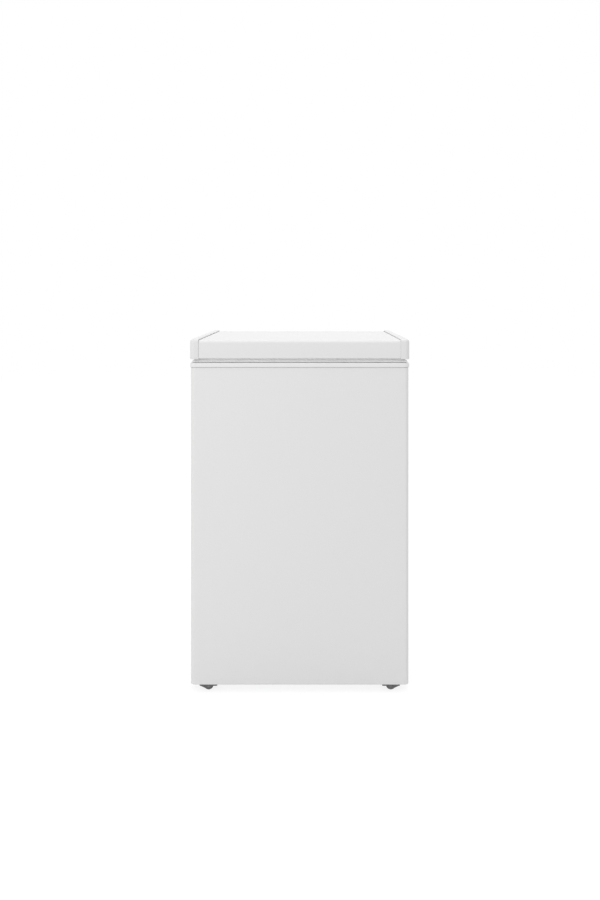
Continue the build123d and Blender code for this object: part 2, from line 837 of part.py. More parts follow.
def roller(place):
    """A small hard plastic roller with a recessed hub on each side."""
    x, y = place
    half = roller_width / 2
    wheel = cylinder_y(wheel_radius, x, y - half, y + half, wheel_radius)
    wheel = fillet(wheel.edges().filter_by(GeomType.CIRCLE), roller_edge_radius)
    recess = cylinder_y(wheel_radius - hub_rim, x, y - half - 1, y - half + hub_recess, wheel_radius)
    recess += cylinder_y(wheel_radius - hub_rim, x, y + half - hub_recess, y + half + 1, wheel_radius)
    recess -= cylinder_y(axle_radius + hub_wall, x, y - half - 1, y + half + 1, wheel_radius)
    return wheel - recess - cylinder_y(
        axle_radius + axle_clearance, x, y - half - 1, y + half + 1, wheel_radius
    )


# ---------------------------------------------------------------- machine compartment
carrier_z = base_z
foot_z = carrier_z + carrier_sheet + grommet_height
compressor_z = foot_z + foot_plate
compressor_y = body_back - compressor_from_back
compressor_top = compressor_z + compressor_height
grommet_x = foot_half_x - grommet_radius - grommet_inset_x
grommet_y = foot_half_y - grommet_radius - grommet_inset_y
grommet_places = [
    (compressor_x + sx * grommet_x, compressor_y + sy * grommet_y) for sx in (-1, 1) for sy in (-1, 1)
]


def compressor_carrier():
    """Galvanised cross plate between the two rails, stiffened by a turned-down edge at the front and back."""
    half = roller_spread + rail_width / 2
    y0, y1 = compressor_y - carrier_half_y, compressor_y + carrier_half_y
    plate = block(-half, half, y0, y1, carrier_z, carrier_z + carrier_sheet)
    inner = roller_spread - rail_width / 2 - carrier_edge_gap
    for y in (y0, y1 - carrier_sheet):
        plate += block(-inner, inner, y, y + carrier_sheet, carrier_z - carrier_edge, carrier_z)
    for x, y in grommet_places:
        plate -= cylinder_z(bolt_radius, x, y, carrier_z - 1, carrier_z + carrier_sheet + 1)
    return plate


def compressor_shell():
    """Hermetic compressor: two pressed steel halves welded at a flange."""
    dome = Pos(compressor_x, compressor_y, compressor_z) * extrude(
        Ellipse(compressor_half_x, compressor_half_y), compressor_height
    )
    dome = fillet(dome.edges().group_by(Axis.Z)[-1], compressor_crown)
    dome = fillet(dome.edges().group_by(Axis.Z)[0], compressor_crown / 3)
    outline = Ellipse(compressor_half_x + weld_flange_reach, compressor_half_y + weld_flange_reach)
    seam = Pos(compressor_x, compressor_y, compressor_z + weld_flange_lift) * extrude(outline, weld_flange)
    return dome + seam


def compressor_feet():
    """Foot plate welded under the compressor, with four holes for the grommets."""
    plate = rounded_block(
        compressor_x - foot_half_x,
        compressor_x + foot_half_x,
        compressor_y - foot_half_y,
        compressor_y + foot_half_y,
        foot_z,
        foot_z + foot_plate,
        grommet_radius,
    )
    for x, y in grommet_places:
        plate -= cylinder_z(bolt_radius + grommet_wall, x, y, foot_z - 1, foot_z + foot_plate + 1)
    return plate


def compressor_grommets():
    """Four rubber mounts between the carrier and the foot plate, each with a neck through the foot plate."""
    mounts = []
    for x, y in grommet_places:
        mount = cylinder_z(grommet_radius, x, y, carrier_z + carrier_sheet, foot_z)
        low = foot_z - grommet_groove_drop
        groove = cylinder_z(grommet_radius + 1, x, y, low, low + grommet_groove)
        groove -= cylinder_z(grommet_radius - grommet_groove_depth, x, y, low - 1, foot_z)
        neck = cylinder_z(bolt_radius + grommet_wall, x, y, foot_z, foot_z + foot_plate + grommet_lip)
        bore = cylinder_z(bolt_radius, x, y, carrier_z, foot_z + 2 * foot_plate)
        mounts.append(mount - groove + neck - bore)
    return Compound(mounts)


def compressor_bolts():
    """Four bolts up through the carrier and grommets, with a washer and nut on top."""
    bolts = []
    for x, y in grommet_places:
        hexagon = RegularPolygon(bolt_head_radius, 6)
        washer_z = foot_z + foot_plate + grommet_lip
        shank = cylinder_z(bolt_radius, x, y, carrier_z, foot_z + foot_plate + bolt_stand)
        head = Pos(x, y, carrier_z - bolt_head) * extrude(hexagon, bolt_head)
        washer = cylinder_z(bolt_radius + bolt_washer_reach, x, y, washer_z, washer_z + bolt_washer)
        nut = Pos(x, y, washer_z + bolt_washer) * extrude(hexagon, bolt_nut)
        bolts.append(shank + head + washer + nut)
    return Compound(bolts)


def relay_cover():
    """Black plastic box over the compressor's terminals, starting relay and overload switch."""
    y0, y1 = compressor_y - relay_half_y, compressor_y + relay_half_y
    z0 = compressor_z + relay_lift
    box = block(compressor_x, compressor_x + compressor_half_x + relay_depth, y0, y1, z0, z0 + relay_height)
    box = fillet(box.edges().filter_by(Axis.Z).group_by(Axis.X)[-1], relay_corner_radius)
    shell = Pos(compressor_x, compressor_y, compressor_z - 1) * extrude(
        Ellipse(compressor_half_x + seat_gap, compressor_half_y + seat_gap), compressor_height
    )
    return box - shell


lead_end_z = machine_top - tube_below_ceiling
suction_start = (compressor_x + suction_stub_x, compressor_y)
discharge_start = (compressor_x - discharge_stub_x, compressor_y + discharge_stub_y)


def suction_tube():
    """Copper tube from the evaporator's lower end down to the compressor."""
    x, y = suction_start
    run_z = compressor_top + suction_rise
    points = [
        (x, y, compressor_top),
        (x, y, run_z),
        (suction_lead_x, evaporator_y, run_z - suction_fall),
        (suction_lead_x, evaporator_y, lead_end_z),
    ]
    return tube_along(points, evaporator_radius, evaporator_radius * 2)


def discharge_tube():
    """Copper tube from the compressor to the condenser's first end."""
    x, y = discharge_start
    run_y = body_back - discharge_run_inset
    points = [
        (x, y, compressor_top),
        (x, y, compressor_top + discharge_rise),
        (x, run_y, compressor_top + discharge_run_rise),
        (condenser_side - discharge_side_gap, run_y, compressor_top + discharge_run_end_rise),
        (condenser_side, lead_y, compressor_top + discharge_turn_rise),
        (condenser_side, lead_y, lead_end_z),
    ]
    return tube_along(points, condenser_radius, condenser_radius * 2.5)


drier_z = compressor_z + drier_lift


def filter_drier():
    """Copper filter drier, necked at both ends, on the condenser's liquid end."""
    neck_top = lead_end_z
    body = cylinder_z(drier_radius, drier_x, drier_y, drier_z, drier_z + drier_length)
    body = chamfer(body.edges().filter_by(GeomType.CIRCLE), drier_radius * 0.45)
    points = [
        (drier_x, drier_y, drier_z + drier_length - 1),
        (drier_x, drier_y, drier_z + drier_length + drier_neck_rise),
        (-condenser_side, lead_y, drier_z + drier_length + drier_turn_rise),
        (-condenser_side, lead_y, neck_top),
    ]
    return body + tube_along(points, condenser_radius, condenser_radius * 2.5)


def capillary_tube():
    """Thin copper tube, coiled once under the drier and then led up behind the evaporator to its top end."""
    end_x, end_y, end_z = evaporator_end()
    low = carrier_z + carrier_sheet + capillary_lift
    run_y = machine_front + capillary_run_inset
    points = [
        (drier_x, drier_y, drier_z),
        (drier_x, drier_y, low),
        (drier_x + capillary_first_reach, run_y, low + capillary_first_rise),
        (capillary_x, run_y, low + capillary_run_rise),
        (capillary_x, capillary_y, low + capillary_back_rise),
        (capillary_x, capillary_y, end_z - capillary_end_drop),
        (capillary_x, end_y, end_z),
        (end_x, end_y, end_z),
    ]
    return tube_along(points, capillary_radius, 4 * [capillary_bend] + 2 * [capillary_end_bend])


# ---------------------------------------------------------------- rear grille, thermostat and cable gland
grille_bottom = cabinet_bottom + sheet + rail_sheet + grille_margin
grille_half = inside_half - grille_margin
grille_screw_x = grille_half - grille_screw_inset
knob_z = cabinet_bottom + knob_height
gland_z = cabinet_bottom + gland_height


def grille_screw_places():
    """Middle of each screw that holds the grille, as (x, z)."""
    heights = (base_z + grille_screw_inset, machine_top - 2 * grille_screw_inset)
    return [(side * grille_screw_x, z) for side in (-1, 1) for z in heights]


def rear_grille():
    """Sheet steel cover over the machine compartment, with rows of cooling slots and a turned-in edge."""
    plate = block(-grille_half, grille_half, inside_back, body_back, grille_bottom, machine_top)
    plate = fillet(plate.edges().filter_by(Axis.Y).group_by(Axis.Z)[0], grille_corner_radius)
    y0 = inside_back - grille_return
    plate += block(-grille_half, grille_half, y0, inside_back, machine_top - sheet, machine_top)
    middle = (grille_bottom + machine_top) / 2
    cutters = []
    for column in range(slot_columns):
        x = (column - (slot_columns - 1) / 2) * (slot_length + slot_column_gap)
        for row in range(slot_rows):
            z = middle + (row - (slot_rows - 1) / 2) * slot_pitch_z
            slot = Pos(x, body_back + 1, z) * Rot(90, 0, 0) * extrude(
                SlotOverall(slot_length, slot_height), 6
            )
            cutters.append(slot)
    plate -= cutters
    for x, z in grille_screw_places():
        plate -= cylinder_y(screw_radius + screw_hole_clearance, x, inside_back - 1, body_back + 1, z)
    plate -= cylinder_y(shaft_radius + bush_wall, knob_x, inside_back - 1, body_back + 1, knob_z)
    return plate - cylinder_y(gland_radius, gland_x, inside_back - 1, body_back + 1, gland_z)


def grille_brackets():
    """Two upright angle strips inside the wrapper that take the grille's screws."""
    strips = []
    for side in (-1, 1):
        x0, x1 = sorted((side * inside_half, side * (inside_half - sheet)))
        a0, a1 = sorted((side * inside_half, side * (grille_screw_x - bracket_reach)))
        upright = block(x0, x1, inside_back - bracket_depth, inside_back, base_z, machine_top - sheet)
        face = block(a0, a1, inside_back - sheet, inside_back, base_z, machine_top - sheet)
        strip = upright + face
        for x, z in grille_screw_places():
            strip -= cylinder_y(screw_radius, x, inside_back - 2 * sheet, inside_back + 1, z)
        strips.append(strip)
    return Compound(strips)


def grille_screws():
    """Four screws through the grille into the angle strips."""
    return Compound([screw(x, body_back, z, 2 * sheet) for x, z in grille_screw_places()])


def thermostat_body():
    """Thermostat switch behind the grille, with its threaded bush and the terminals' plastic end."""
    back = inside_back
    half, rise = thermostat_half, thermostat_half_height
    body = block(knob_x - half, knob_x + half, back - thermostat_depth, back, knob_z - rise, knob_z + rise)
    bush = cylinder_y(shaft_radius + bush_wall, knob_x, back, body_back + bush_reach, knob_z)
    bore = cylinder_y(shaft_radius + shaft_clearance, knob_x, back - shaft_bore_depth, body_back + 2, knob_z)
    end = back - thermostat_depth
    half, rise = terminal_half, terminal_half_height
    terminals = block(knob_x - half, knob_x + half, end - terminal_depth, end, knob_z - rise, knob_z + rise)
    return body + bush + terminals - bore


def sensor_tube():
    """Thin gas-filled tube from the thermostat up to the evaporator, which it feels the warmth of."""
    y = inside_back - thermostat_depth / 2
    rise = knob_z + thermostat_half_height
    points = [
        (knob_x, y, rise),
        (knob_x, y, rise + sensor_first_rise),
        (sensor_x, sensor_y, rise + sensor_second_rise),
        (sensor_x, sensor_y, evaporator_bottom + sensor_reach),
    ]
    return tube_along(points, sensor_radius, sensor_bend)


def thermostat_shaft():
    """Steel spindle that the knob turns."""
    return cylinder_y(
        shaft_radius, knob_x, inside_back - shaft_depth, body_back + knob_depth - knob_face, knob_z
    )


def thermostat_knob():
    """Round knob pushed on the spindle, with a skirt and a finger bar across it."""
    y0 = body_back + bush_reach + seat_gap
    skirt = cylinder_y(knob_radius, knob_x, y0, y0 + knob_skirt, knob_z)
    skirt = fillet(skirt.edges().group_by(Axis.Y)[-1], knob_skirt_radius)
    y1 = body_back + knob_depth
    cap = cylinder_y(knob_cap_radius, knob_x, y0 + knob_skirt, y0 + knob_skirt + knob_cap, knob_z)
    half, rise = knob_bar_half, knob_cap_radius - knob_bar_inset
    bar = block(knob_x - half, knob_x + half, y0 + knob_skirt, y1, knob_z - rise, knob_z + rise)
    bar = fillet(bar.edges().filter_by(Axis.Y), knob_bar_half / 2)
    return skirt + cap + bar - cylinder_y(shaft_radius, knob_x, y0 - 1, y1 - knob_face, knob_z)


def cable_gland():
    """Bushing where the mains lead enters through the grille."""
    end = body_back + gland_collar
    collar = cylinder_y(gland_collar_radius, gland_x, body_back, end, gland_z)
    collar = chamfer(collar.edges().group_by(Axis.Y)[-1], gland_collar / 3)
    neck = cylinder_y(gland_radius, gland_x, inside_back, body_back, gland_z)
    sleeve = cylinder_y(gland_radius + gland_shoulder, gland_x, end - gland_length, inside_back, gland_z)
    bore = cylinder_y(gland_bore_radius, gland_x, body_back - gland_length, end + 1, gland_z)
    return collar + neck + sleeve - bore


# ---------------------------------------------------------------- lid
def trim_envelope(side, inset):
    """Outer form of one lid end trim, drawn in on every outer face by inset."""
    x_in = frame_half - trim_width
    x_out = frame_half - inset
    x0, x1 = sorted((side * x_in, side * x_out))
    low = lid_bottom + inset if inset else lid_bottom - trim_skirt
    shape = block(x0, x1, lid_front + inset, lid_back - inset, low, lid_top - inset)
    outer_edges = shape.edges().filter_by(Axis.Z).filter_by(lambda e: abs(e.center().X) > x_in + 1)
    shape = fillet(outer_edges, trim_corner_radius - inset)
    rim = shape.faces().sort_by(Axis.Z)[-1].edges().filter_by(lambda e: abs(e.center().X) > x_in + 0.1)
    shape = fillet(rim, trim_top_radius - inset)
    if inset == 0:
        rim = shape.faces().sort_by(Axis.Z)[0].edges().filter_by(lambda e: abs(e.center().X) > x_in + 0.1)
        shape = fillet(rim, trim_bottom_radius)
    return shape


lid_liner_half = frame_half - trim_wall - trim_lip
lid_liner_front = lid_front + panel_step + panel_hem
lid_liner_back = panel_back - panel_hem
lid_opening = (-lid_liner_half, lid_liner_half, lid_liner_front, lid_liner_back)


def trim_recess(side):
    """Space under the foot of one lid end trim, inside its skirt."""
    x0, x1 = sorted((side * (frame_half - trim_width - 1), side * (frame_half - trim_wall)))
    low = lid_bottom - trim_skirt - 1
    shape = block(x0, x1, lid_front + trim_wall, lid_back - trim_wall, low, lid_bottom)
    corners = shape.edges().filter_by(Axis.Z).filter_by(lambda e: abs(e.center().X) > frame_half - trim_width)
    return fillet(corners, trim_corner_radius - trim_wall)


def lid_trim(side):
    """Moulded end trim of the lid: a hollow cap with rounded corners and a skirt, open towards the foam."""
    opening = block(*lid_opening, lid_bottom - 1, lid_bottom + trim_wall + 1)
    return trim_envelope(side, 0) - trim_envelope(side, trim_wall) - trim_recess(side) - opening


def panel_form(inset):
    """Form of the lid's middle between the trims, drawn in by inset."""
    half = frame_half - trim_width
    shape = block(
        -half,
        half,
        lid_front + panel_step + inset,
        panel_back - inset,
        lid_bottom + inset,
        lid_top - panel_drop - inset,
    )
    top = shape.edges().filter_by(Axis.X).group_by(Axis.Z)[-1]
    shape = fillet(top, panel_top_radius - inset)
    bottom = shape.edges().filter_by(Axis.X).group_by(Axis.Z)[0]
    return fillet(bottom, panel_bottom_radius - inset)


leaf_screw_offsets = [
    (dx, dz) for dx in (-leaf_screw_spread, leaf_screw_spread) for dz in (leaf_screw_low, leaf_screw_high)
]
leaf_bottom = lid_bottom + leaf_lift


def leaf_screw_places(side):
    """Middle of each screw that holds a hinge leaf to the lid, as (x, z)."""
    return [(side * hinge_spread + dx, leaf_bottom + dz) for dx, dz in leaf_screw_offsets]


def lid_panel():
    """Painted steel sheet folded down over the lid's front and back."""
    panel = panel_form(0) - panel_form(sheet) - block(*lid_opening, lid_bottom - 1, lid_bottom + 1)
    for side in (-1, 1):
        for x, z in leaf_screw_places(side):
            panel -= cylinder_y(screw_radius + screw_hole_clearance, x, panel_back - 2, panel_back + 1, z)
    return panel


def ring(inset, width, z0, z1):
    """A square-edged ring that follows the lid's outline, from inset to inset plus width."""
    outer = max(gasket_corner_radius + gasket_inset - inset, 0.5)
    inner = max(outer - width, 0.4)
    a = rounded_block(
        -frame_half + inset, frame_half - inset, lid_front + inset, lid_back - inset, z0, z1, outer
    )
    far = inset + width
    b = rounded_block(
        -frame_half + far, frame_half - far, lid_front + far, lid_back - far, z0 - 1, z1 + 1, inner
    )
    return a - b


root_inset = gasket_inset + (gasket_width - gasket_root_width) / 2
groove_top = lid_bottom + gasket_root_height


def groove_wall():
    """The liner's groove for the gasket's root with its walls, before the groove is cut."""
    width = gasket_root_width + 2 * lid_liner_sheet
    return ring(root_inset - lid_liner_sheet, width, lid_bottom, groove_top + lid_liner_sheet)


def lid_liner():
    """Vacuum-formed inner skin of the lid, with a groove for the gasket and a raised middle."""
    skin = block(*lid_opening, lid_bottom, lid_bottom + lid_liner_sheet)
    skin += groove_wall()
    skin -= ring(root_inset, gasket_root_width, lid_bottom - 1, groove_top)
    top = lid_bottom + lid_liner_sheet
    skin += plug_block(0, lid_bottom - plug_depth, top)
    return skin - plug_block(lid_liner_sheet, top - plug_depth, top + 1)


def plug_block(inset, z0, z1):
    """The raised middle of the lid liner, drawn in by inset."""
    far = plug_inset + inset
    shape = rounded_block(
        -frame_half + far,
        frame_half - far,
        lid_front + far,
        lid_back - far,
        z0,
        z1,
        tub_corner_radius - inset,
    )
    return fillet(shape.edges().group_by(Axis.Z)[0], plug_edge_radius - inset)


def lid_anchor(side):
    """Steel plate in the lid's foam behind its rear face, before drilling."""
    x = side * hinge_spread
    half = leaf_half + anchor_margin
    y1 = panel_back - sheet
    return block(x - half, x + half, y1 - anchor_plate, y1, leaf_bottom, leaf_bottom + lid_anchor_rise)


def lid_anchor_plates():
    """Two tapped steel plates foamed into the lid for the hinge leaves."""
    plates = []
    for side in (-1, 1):
        plate = lid_anchor(side)
        for x, z in leaf_screw_places(side):
            plate -= cylinder_y(screw_radius, x, panel_back - 2 * anchor_plate, panel_back, z)
        plates.append(plate)
    return Compound(plates)


def lid_foam():
    """Rigid foam that fills the lid between panel, trims and liner."""
    floor = lid_bottom + lid_liner_sheet
    foam = panel_form(sheet) + trim_envelope(-1, trim_wall) + trim_envelope(1, trim_wall)
    foam -= block(-frame_half, frame_half, lid_front, lid_back, lid_bottom - 1, floor)
    foam += plug_block(lid_liner_sheet, floor - plug_depth, floor + 1)
    foam -= groove_wall()
    for side in (-1, 1):
        foam -= lid_anchor(side)
    return foam


def lid_gasket():
    """Soft PVC seal: hollow bulb with a magnet pocket, held by a root pushed into the liner's groove."""
    low = frame_top + seat_gap
    bulb = ring(gasket_inset, gasket_width, low, lid_bottom)
    root = ring(root_inset, gasket_root_width, lid_bottom, lid_bottom + gasket_root_height)
    pocket_inset = gasket_inset + (gasket_width - magnet_width) / 2
    pocket = ring(pocket_inset, magnet_width, low + gasket_skin, low + gasket_skin + magnet_height)
    hollow_bottom = low + 2 * gasket_skin + magnet_height
    hollow = ring(pocket_inset, magnet_width, hollow_bottom, lid_bottom - gasket_skin)
    return bulb + root - pocket - hollow


def gasket_magnet():
    """Flexible magnet strip that lies in the gasket's pocket."""
    low = frame_top + seat_gap + gasket_skin
    pocket_inset = gasket_inset + (gasket_width - magnet_width) / 2
    return ring(pocket_inset, magnet_width, low, low + magnet_height)


# ---------------------------------------------------------------- hinges
cam_y = axis_y - cam_arm * math.cos(math.radians(cam_rest_angle))
cam_z = axis_z - cam_arm * math.sin(math.radians(cam_rest_angle))
plunger_top = cam_z - cam_radius - cam_gap
plunger_travel = 2 * cam_arm * math.sin(math.radians(cam_rest_angle))
plunger_shoulder = plunger_top - plunger_finger_height
plunger_bottom = plunger_shoulder - plunger_body_height
spring_y = body_back + hinge_plate + (hinge_flange_reach - hinge_plate) / 2
spring_bottom = channel_bottom + hinge_plate


def knuckle_plate(x0, x1, seat):
    """A plate from x0 to x1 whose outline wraps the pin's axis and a seat rectangle (y0, y1, z0, z1)."""
    y0, y1, z0, z1 = seat
    knuckle = Pos(axis_y, axis_z) * Circle(hinge_knuckle_radius)
    foot = Pos((y0 + y1) / 2, (z0 + z1) / 2) * Rectangle(y1 - y0, z1 - z0)
    outline = make_hull(knuckle.edges() + foot.edges())
    return Pos(x0, 0, 0) * extrude(Plane.YZ * outline, x1 - x0)


def hinge_channel(side):
    """Fixed steel channel on the rear panel that holds the pin and guides the spring plunger."""
    x = side * hinge_spread
    half = hinge_channel_half
    top = channel_bottom + hinge_channel_height
    web = block(
        x - half - hinge_tab, x + half + hinge_tab, body_back, body_back + hinge_plate, channel_bottom, top
    )
    reach = body_back + hinge_flange_reach
    channel = web + block(x - half, x + half, body_back, reach, channel_bottom, channel_bottom + hinge_plate)
    for x0 in (x - half, x + half - hinge_plate):
        channel += block(x0, x0 + hinge_plate, body_back, reach, channel_bottom, top)
        seat = (body_back + hinge_plate, reach, top - channel_seat_height, top)
        channel += knuckle_plate(x0, x0 + hinge_plate, seat)
    channel -= cylinder_x(hinge_pin_radius, x - half - 1, x + half + 1, axis_y, axis_z)
    for sx, z in channel_screw_places():
        if abs(sx - x) < half + hinge_tab:
            hole = screw_radius + screw_hole_clearance
            channel -= cylinder_y(hole, sx, body_back - 1, body_back + hinge_plate + 1, z)
    return channel


def hinge_leaf(side):
    """Moving leaf on the lid's rear face: a web, two ears on the pin and a cam over the plunger."""
    x = side * hinge_spread
    top = leaf_bottom + leaf_rise
    web = block(x - leaf_half, x + leaf_half, panel_back, panel_back + leaf_plate, leaf_bottom, top)
    leaf = web
    for x0 in (x - leaf_half, x + leaf_half - leaf_plate):
        seat = (panel_back, panel_back + leaf_plate, leaf_bottom, top - ear_drop)
        leaf += knuckle_plate(x0, x0 + leaf_plate, seat)
    leaf += cylinder_x(
        cam_radius, x - leaf_half + leaf_plate / 2, x + leaf_half - leaf_plate / 2, cam_y, cam_z
    )
    leaf -= cylinder_x(
        hinge_pin_radius + hinge_running_clearance, x - leaf_half - 1, x + leaf_half + 1, axis_y, axis_z
    )
    for sx, z in leaf_screw_places(side):
        leaf -= cylinder_y(
            screw_radius + screw_hole_clearance, sx, panel_back - 1, panel_back + leaf_plate + 1, z
        )
    return leaf


def hinge_pin(side):
    """Steel pin through the channel's flanges, headed at both ends."""
    x = side * hinge_spread
    half = hinge_channel_half
    pin = cylinder_x(hinge_pin_radius, x - half, x + half, axis_y, axis_z)
    for x0 in (x - half - pin_head, x + half):
        pin += cylinder_x(hinge_pin_radius + pin_head_reach, x0, x0 + pin_head, axis_y, axis_z)
    return pin


def hinge_plunger(side):
    """Plastic plunger pushed up by the spring; its finger follows the leaf's cam."""
    x = side * hinge_spread
    y0 = body_back + hinge_plate + plunger_back_gap
    y1 = body_back + hinge_flange_reach - plunger_front_gap
    guide = hinge_channel_half - hinge_plate - plunger_guide_clearance
    body = block(x - guide, x + guide, y0, y1, plunger_bottom, plunger_shoulder)
    y1 = axis_y - hinge_pin_radius - plunger_pin_gap
    finger = block(x - plunger_half, x + plunger_half, y0, y1, plunger_shoulder, plunger_top)
    radius = spring_coil_radius - 2 * spring_wire_radius
    return body + finger + cylinder_z(radius, x, spring_y, plunger_bottom - plunger_stem, plunger_bottom)


def hinge_spring(side):
    """Coil spring that balances the lid, standing in the channel under the plunger."""
    x = side * hinge_spread
    low = spring_bottom + spring_wire_radius
    height = plunger_bottom - seat_gap - spring_wire_radius - low
    coil = Helix(height / spring_turns, height, spring_coil_radius)
    path = Pos(x, spring_y, low) * coil
    start = path @ 0
    return sweep(Plane(origin=start, z_dir=path % 0) * Circle(spring_wire_radius), path=path, is_frenet=True)


def hinge_cover(side):
    """White plastic cover clipped over one channel from behind."""
    x = side * hinge_spread
    inner = hinge_channel_half
    outer = inner + cover_wall
    y1 = rear_y
    z0, z1 = channel_bottom - cover_wall, channel_bottom + hinge_channel_height
    cover = block(x - outer, x + outer, body_back + hinge_plate, y1, z0, z1)
    back_edges = cover.edges().filter_by(Axis.Z).group_by(Axis.Y)[-1]
    cover = fillet(back_edges, cover_corner_radius)
    return cover - block(x - inner, x + inner, body_back, y1 - cover_wall, channel_bottom, z1 + 1)


def hinge_screws():
    """Eight screws that hold the two channels through the rear panel."""
    grip = hinge_plate + sheet + anchor_plate
    return Compound([screw(x, body_back + hinge_plate, z, grip) for x, z in channel_screw_places()])


def lid_screws():
    """Eight screws that hold the two leaves to the lid."""
    grip = leaf_plate + sheet + anchor_plate
    return Compound(
        [screw(x, panel_back + leaf_plate, z, grip) for side in (-1, 1) for x, z in leaf_screw_places(side)]
    )


# ---------------------------------------------------------------- basket
def storage_basket():
    """Plastic-coated wire basket that hangs by four hooks on the frame and slides along it."""
    half_x = tub_half - frame_inner_lip - basket_side_gap
    y0 = tub_front + frame_inner_lip + basket_front_gap
    y1 = y0 + basket_depth_y
    rim_z = frame_top - basket_drop
    low_z = rim_z - basket_height
    taper, weld = basket_taper, basket_weld
    parts = []
    for number in range(basket_rings):
        share = number / basket_rings
        grow = -taper * share
        outline = RectangleRounded(2 * (half_x + grow), basket_depth_y + 2 * grow, basket_corner_radius)
        z = rim_z - share * basket_height
        wire = basket_rim_wire if number == 0 else basket_wire
        path = (Pos(0, (y0 + y1) / 2, z) * outline).face().outer_wire()
        start = path @ 0
        parts.append(sweep(Plane(origin=start, z_dir=path % 0) * Circle(wire), path=path))
    inner = basket_rim_wire + basket_wire - weld
    end = basket_corner_radius + taper
    for number in range(basket_cross_wires):
        y = y0 + end + number * (basket_depth_y - 2 * end) / (basket_cross_wires - 1)
        top, bottom = half_x - inner + 2 * weld, half_x - taper - basket_wire
        points = [(-top, y, rim_z), (-bottom, y, low_z), (bottom, y, low_z), (top, y, rim_z)]
        parts.append(tube_along(points, basket_wire, basket_bend))
    for number in range(basket_long_wires):
        x = (number - (basket_long_wires - 1) / 2) * (2 * (half_x - taper - basket_corner_radius)) / (
            basket_long_wires - 1
        )
        sag = low_z - 2 * basket_wire + weld
        points = [
            (x, y0 + inner - 2 * weld, rim_z),
            (x, y0 + taper + basket_wire, sag),
            (x, y1 - taper - basket_wire, sag),
            (x, y1 - inner + 2 * weld, rim_z),
        ]
        parts.append(tube_along(points, basket_wire, basket_bend))
    over = tub_half - frame_inner_lip + hook_reach
    hook_z = frame_top + seat_gap + basket_rim_wire
    for side in (-1, 1):
        for y in (y0 + hook_inset, y1 - hook_inset):
            points = [(side * half_x, y, rim_z), (side * half_x, y, hook_z), (side * over, y, hook_z)]
            parts.append(tube_along(points, basket_rim_wire, hook_bend))
        bar_inset = hook_inset - hook_bar_reach
        parts.append(cylinder_y(basket_rim_wire, side * over, y0 + bar_inset, y1 - bar_inset, hook_z))
    basket = parts[0]
    for piece in parts[1:]:
        basket = basket + piece
    return basket


# ---------------------------------------------------------------- write every sub-part
os.makedirs("parts", exist_ok=True)

write("cabinet_wrapper", cabinet_wrapper())
write("rear_panel", rear_panel())
write("base_pan", base_pan())
write("base_rail_left", base_rail(-1))
write("base_rail_right", base_rail(1))
write("inner_liner", inner_liner())
write("cabinet_foam", cabinet_foam())
write("cabinet_anchor_plates", cabinet_anchor_plates())
write("top_frame", top_frame())
write("evaporator_tube", evaporator_tube())
write("condenser_tube", condenser_tube())
write("drain_tube", drain_tube())
write("drain_plug", drain_plug())
write("roller_housings", roller_housings())
write("roller_axles", roller_axles())
for name, place in zip(("front_left", "front_right", "rear_left", "rear_right"), roller_places):
    write(f"roller_{name}", roller(place))
write("compressor_carrier", compressor_carrier())
write("compressor_shell", compressor_shell())
write("compressor_feet", compressor_feet())
write("compressor_grommets", compressor_grommets())
write("compressor_bolts", compressor_bolts())
write("relay_cover", relay_cover())
write("suction_tube", suction_tube())
write("discharge_tube", discharge_tube())
write("filter_drier", filter_drier())
write("capillary_tube", capillary_tube())
write("rear_grille", rear_grille())
write("grille_brackets", grille_brackets())
write("grille_screws", grille_screws())
write("thermostat_body", thermostat_body())
write("thermostat_shaft", thermostat_shaft())
write("thermostat_knob", thermostat_knob())
write("sensor_tube", sensor_tube())
write("cable_gland", cable_gland())
write("lid_panel", lid_panel())
write("lid_trim_left", lid_trim(-1))
write("lid_trim_right", lid_trim(1))
write("lid_liner", lid_liner())
write("lid_foam", lid_foam())
write("lid_anchor_plates", lid_anchor_plates())
write("lid_gasket", lid_gasket())
write("gasket_magnet", gasket_magnet())
for name, side in (("left", -1), ("right", 1)):
    write(f"hinge_channel_{name}", hinge_channel(side))
    write(f"hinge_leaf_{name}", hinge_leaf(side))
    write(f"hinge_pin_{name}", hinge_pin(side))
    write(f"hinge_plunger_{name}", hinge_plunger(side))
    write(f"hinge_spring_{name}", hinge_spring(side))
    write(f"hinge_cover_{name}", hinge_cover(side))
write("hinge_screws", hinge_screws())
write("lid_screws", lid_screws())
write("storage_basket", storage_basket())

print("node count", len(os.listdir("parts")), "overall height", lid_top, "depth", overall_depth)
print("hinge axis", axis_y, axis_z, "plunger travel", plunger_travel)
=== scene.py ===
import math

import bmesh
import bpy
from mathutils import Matrix, Vector


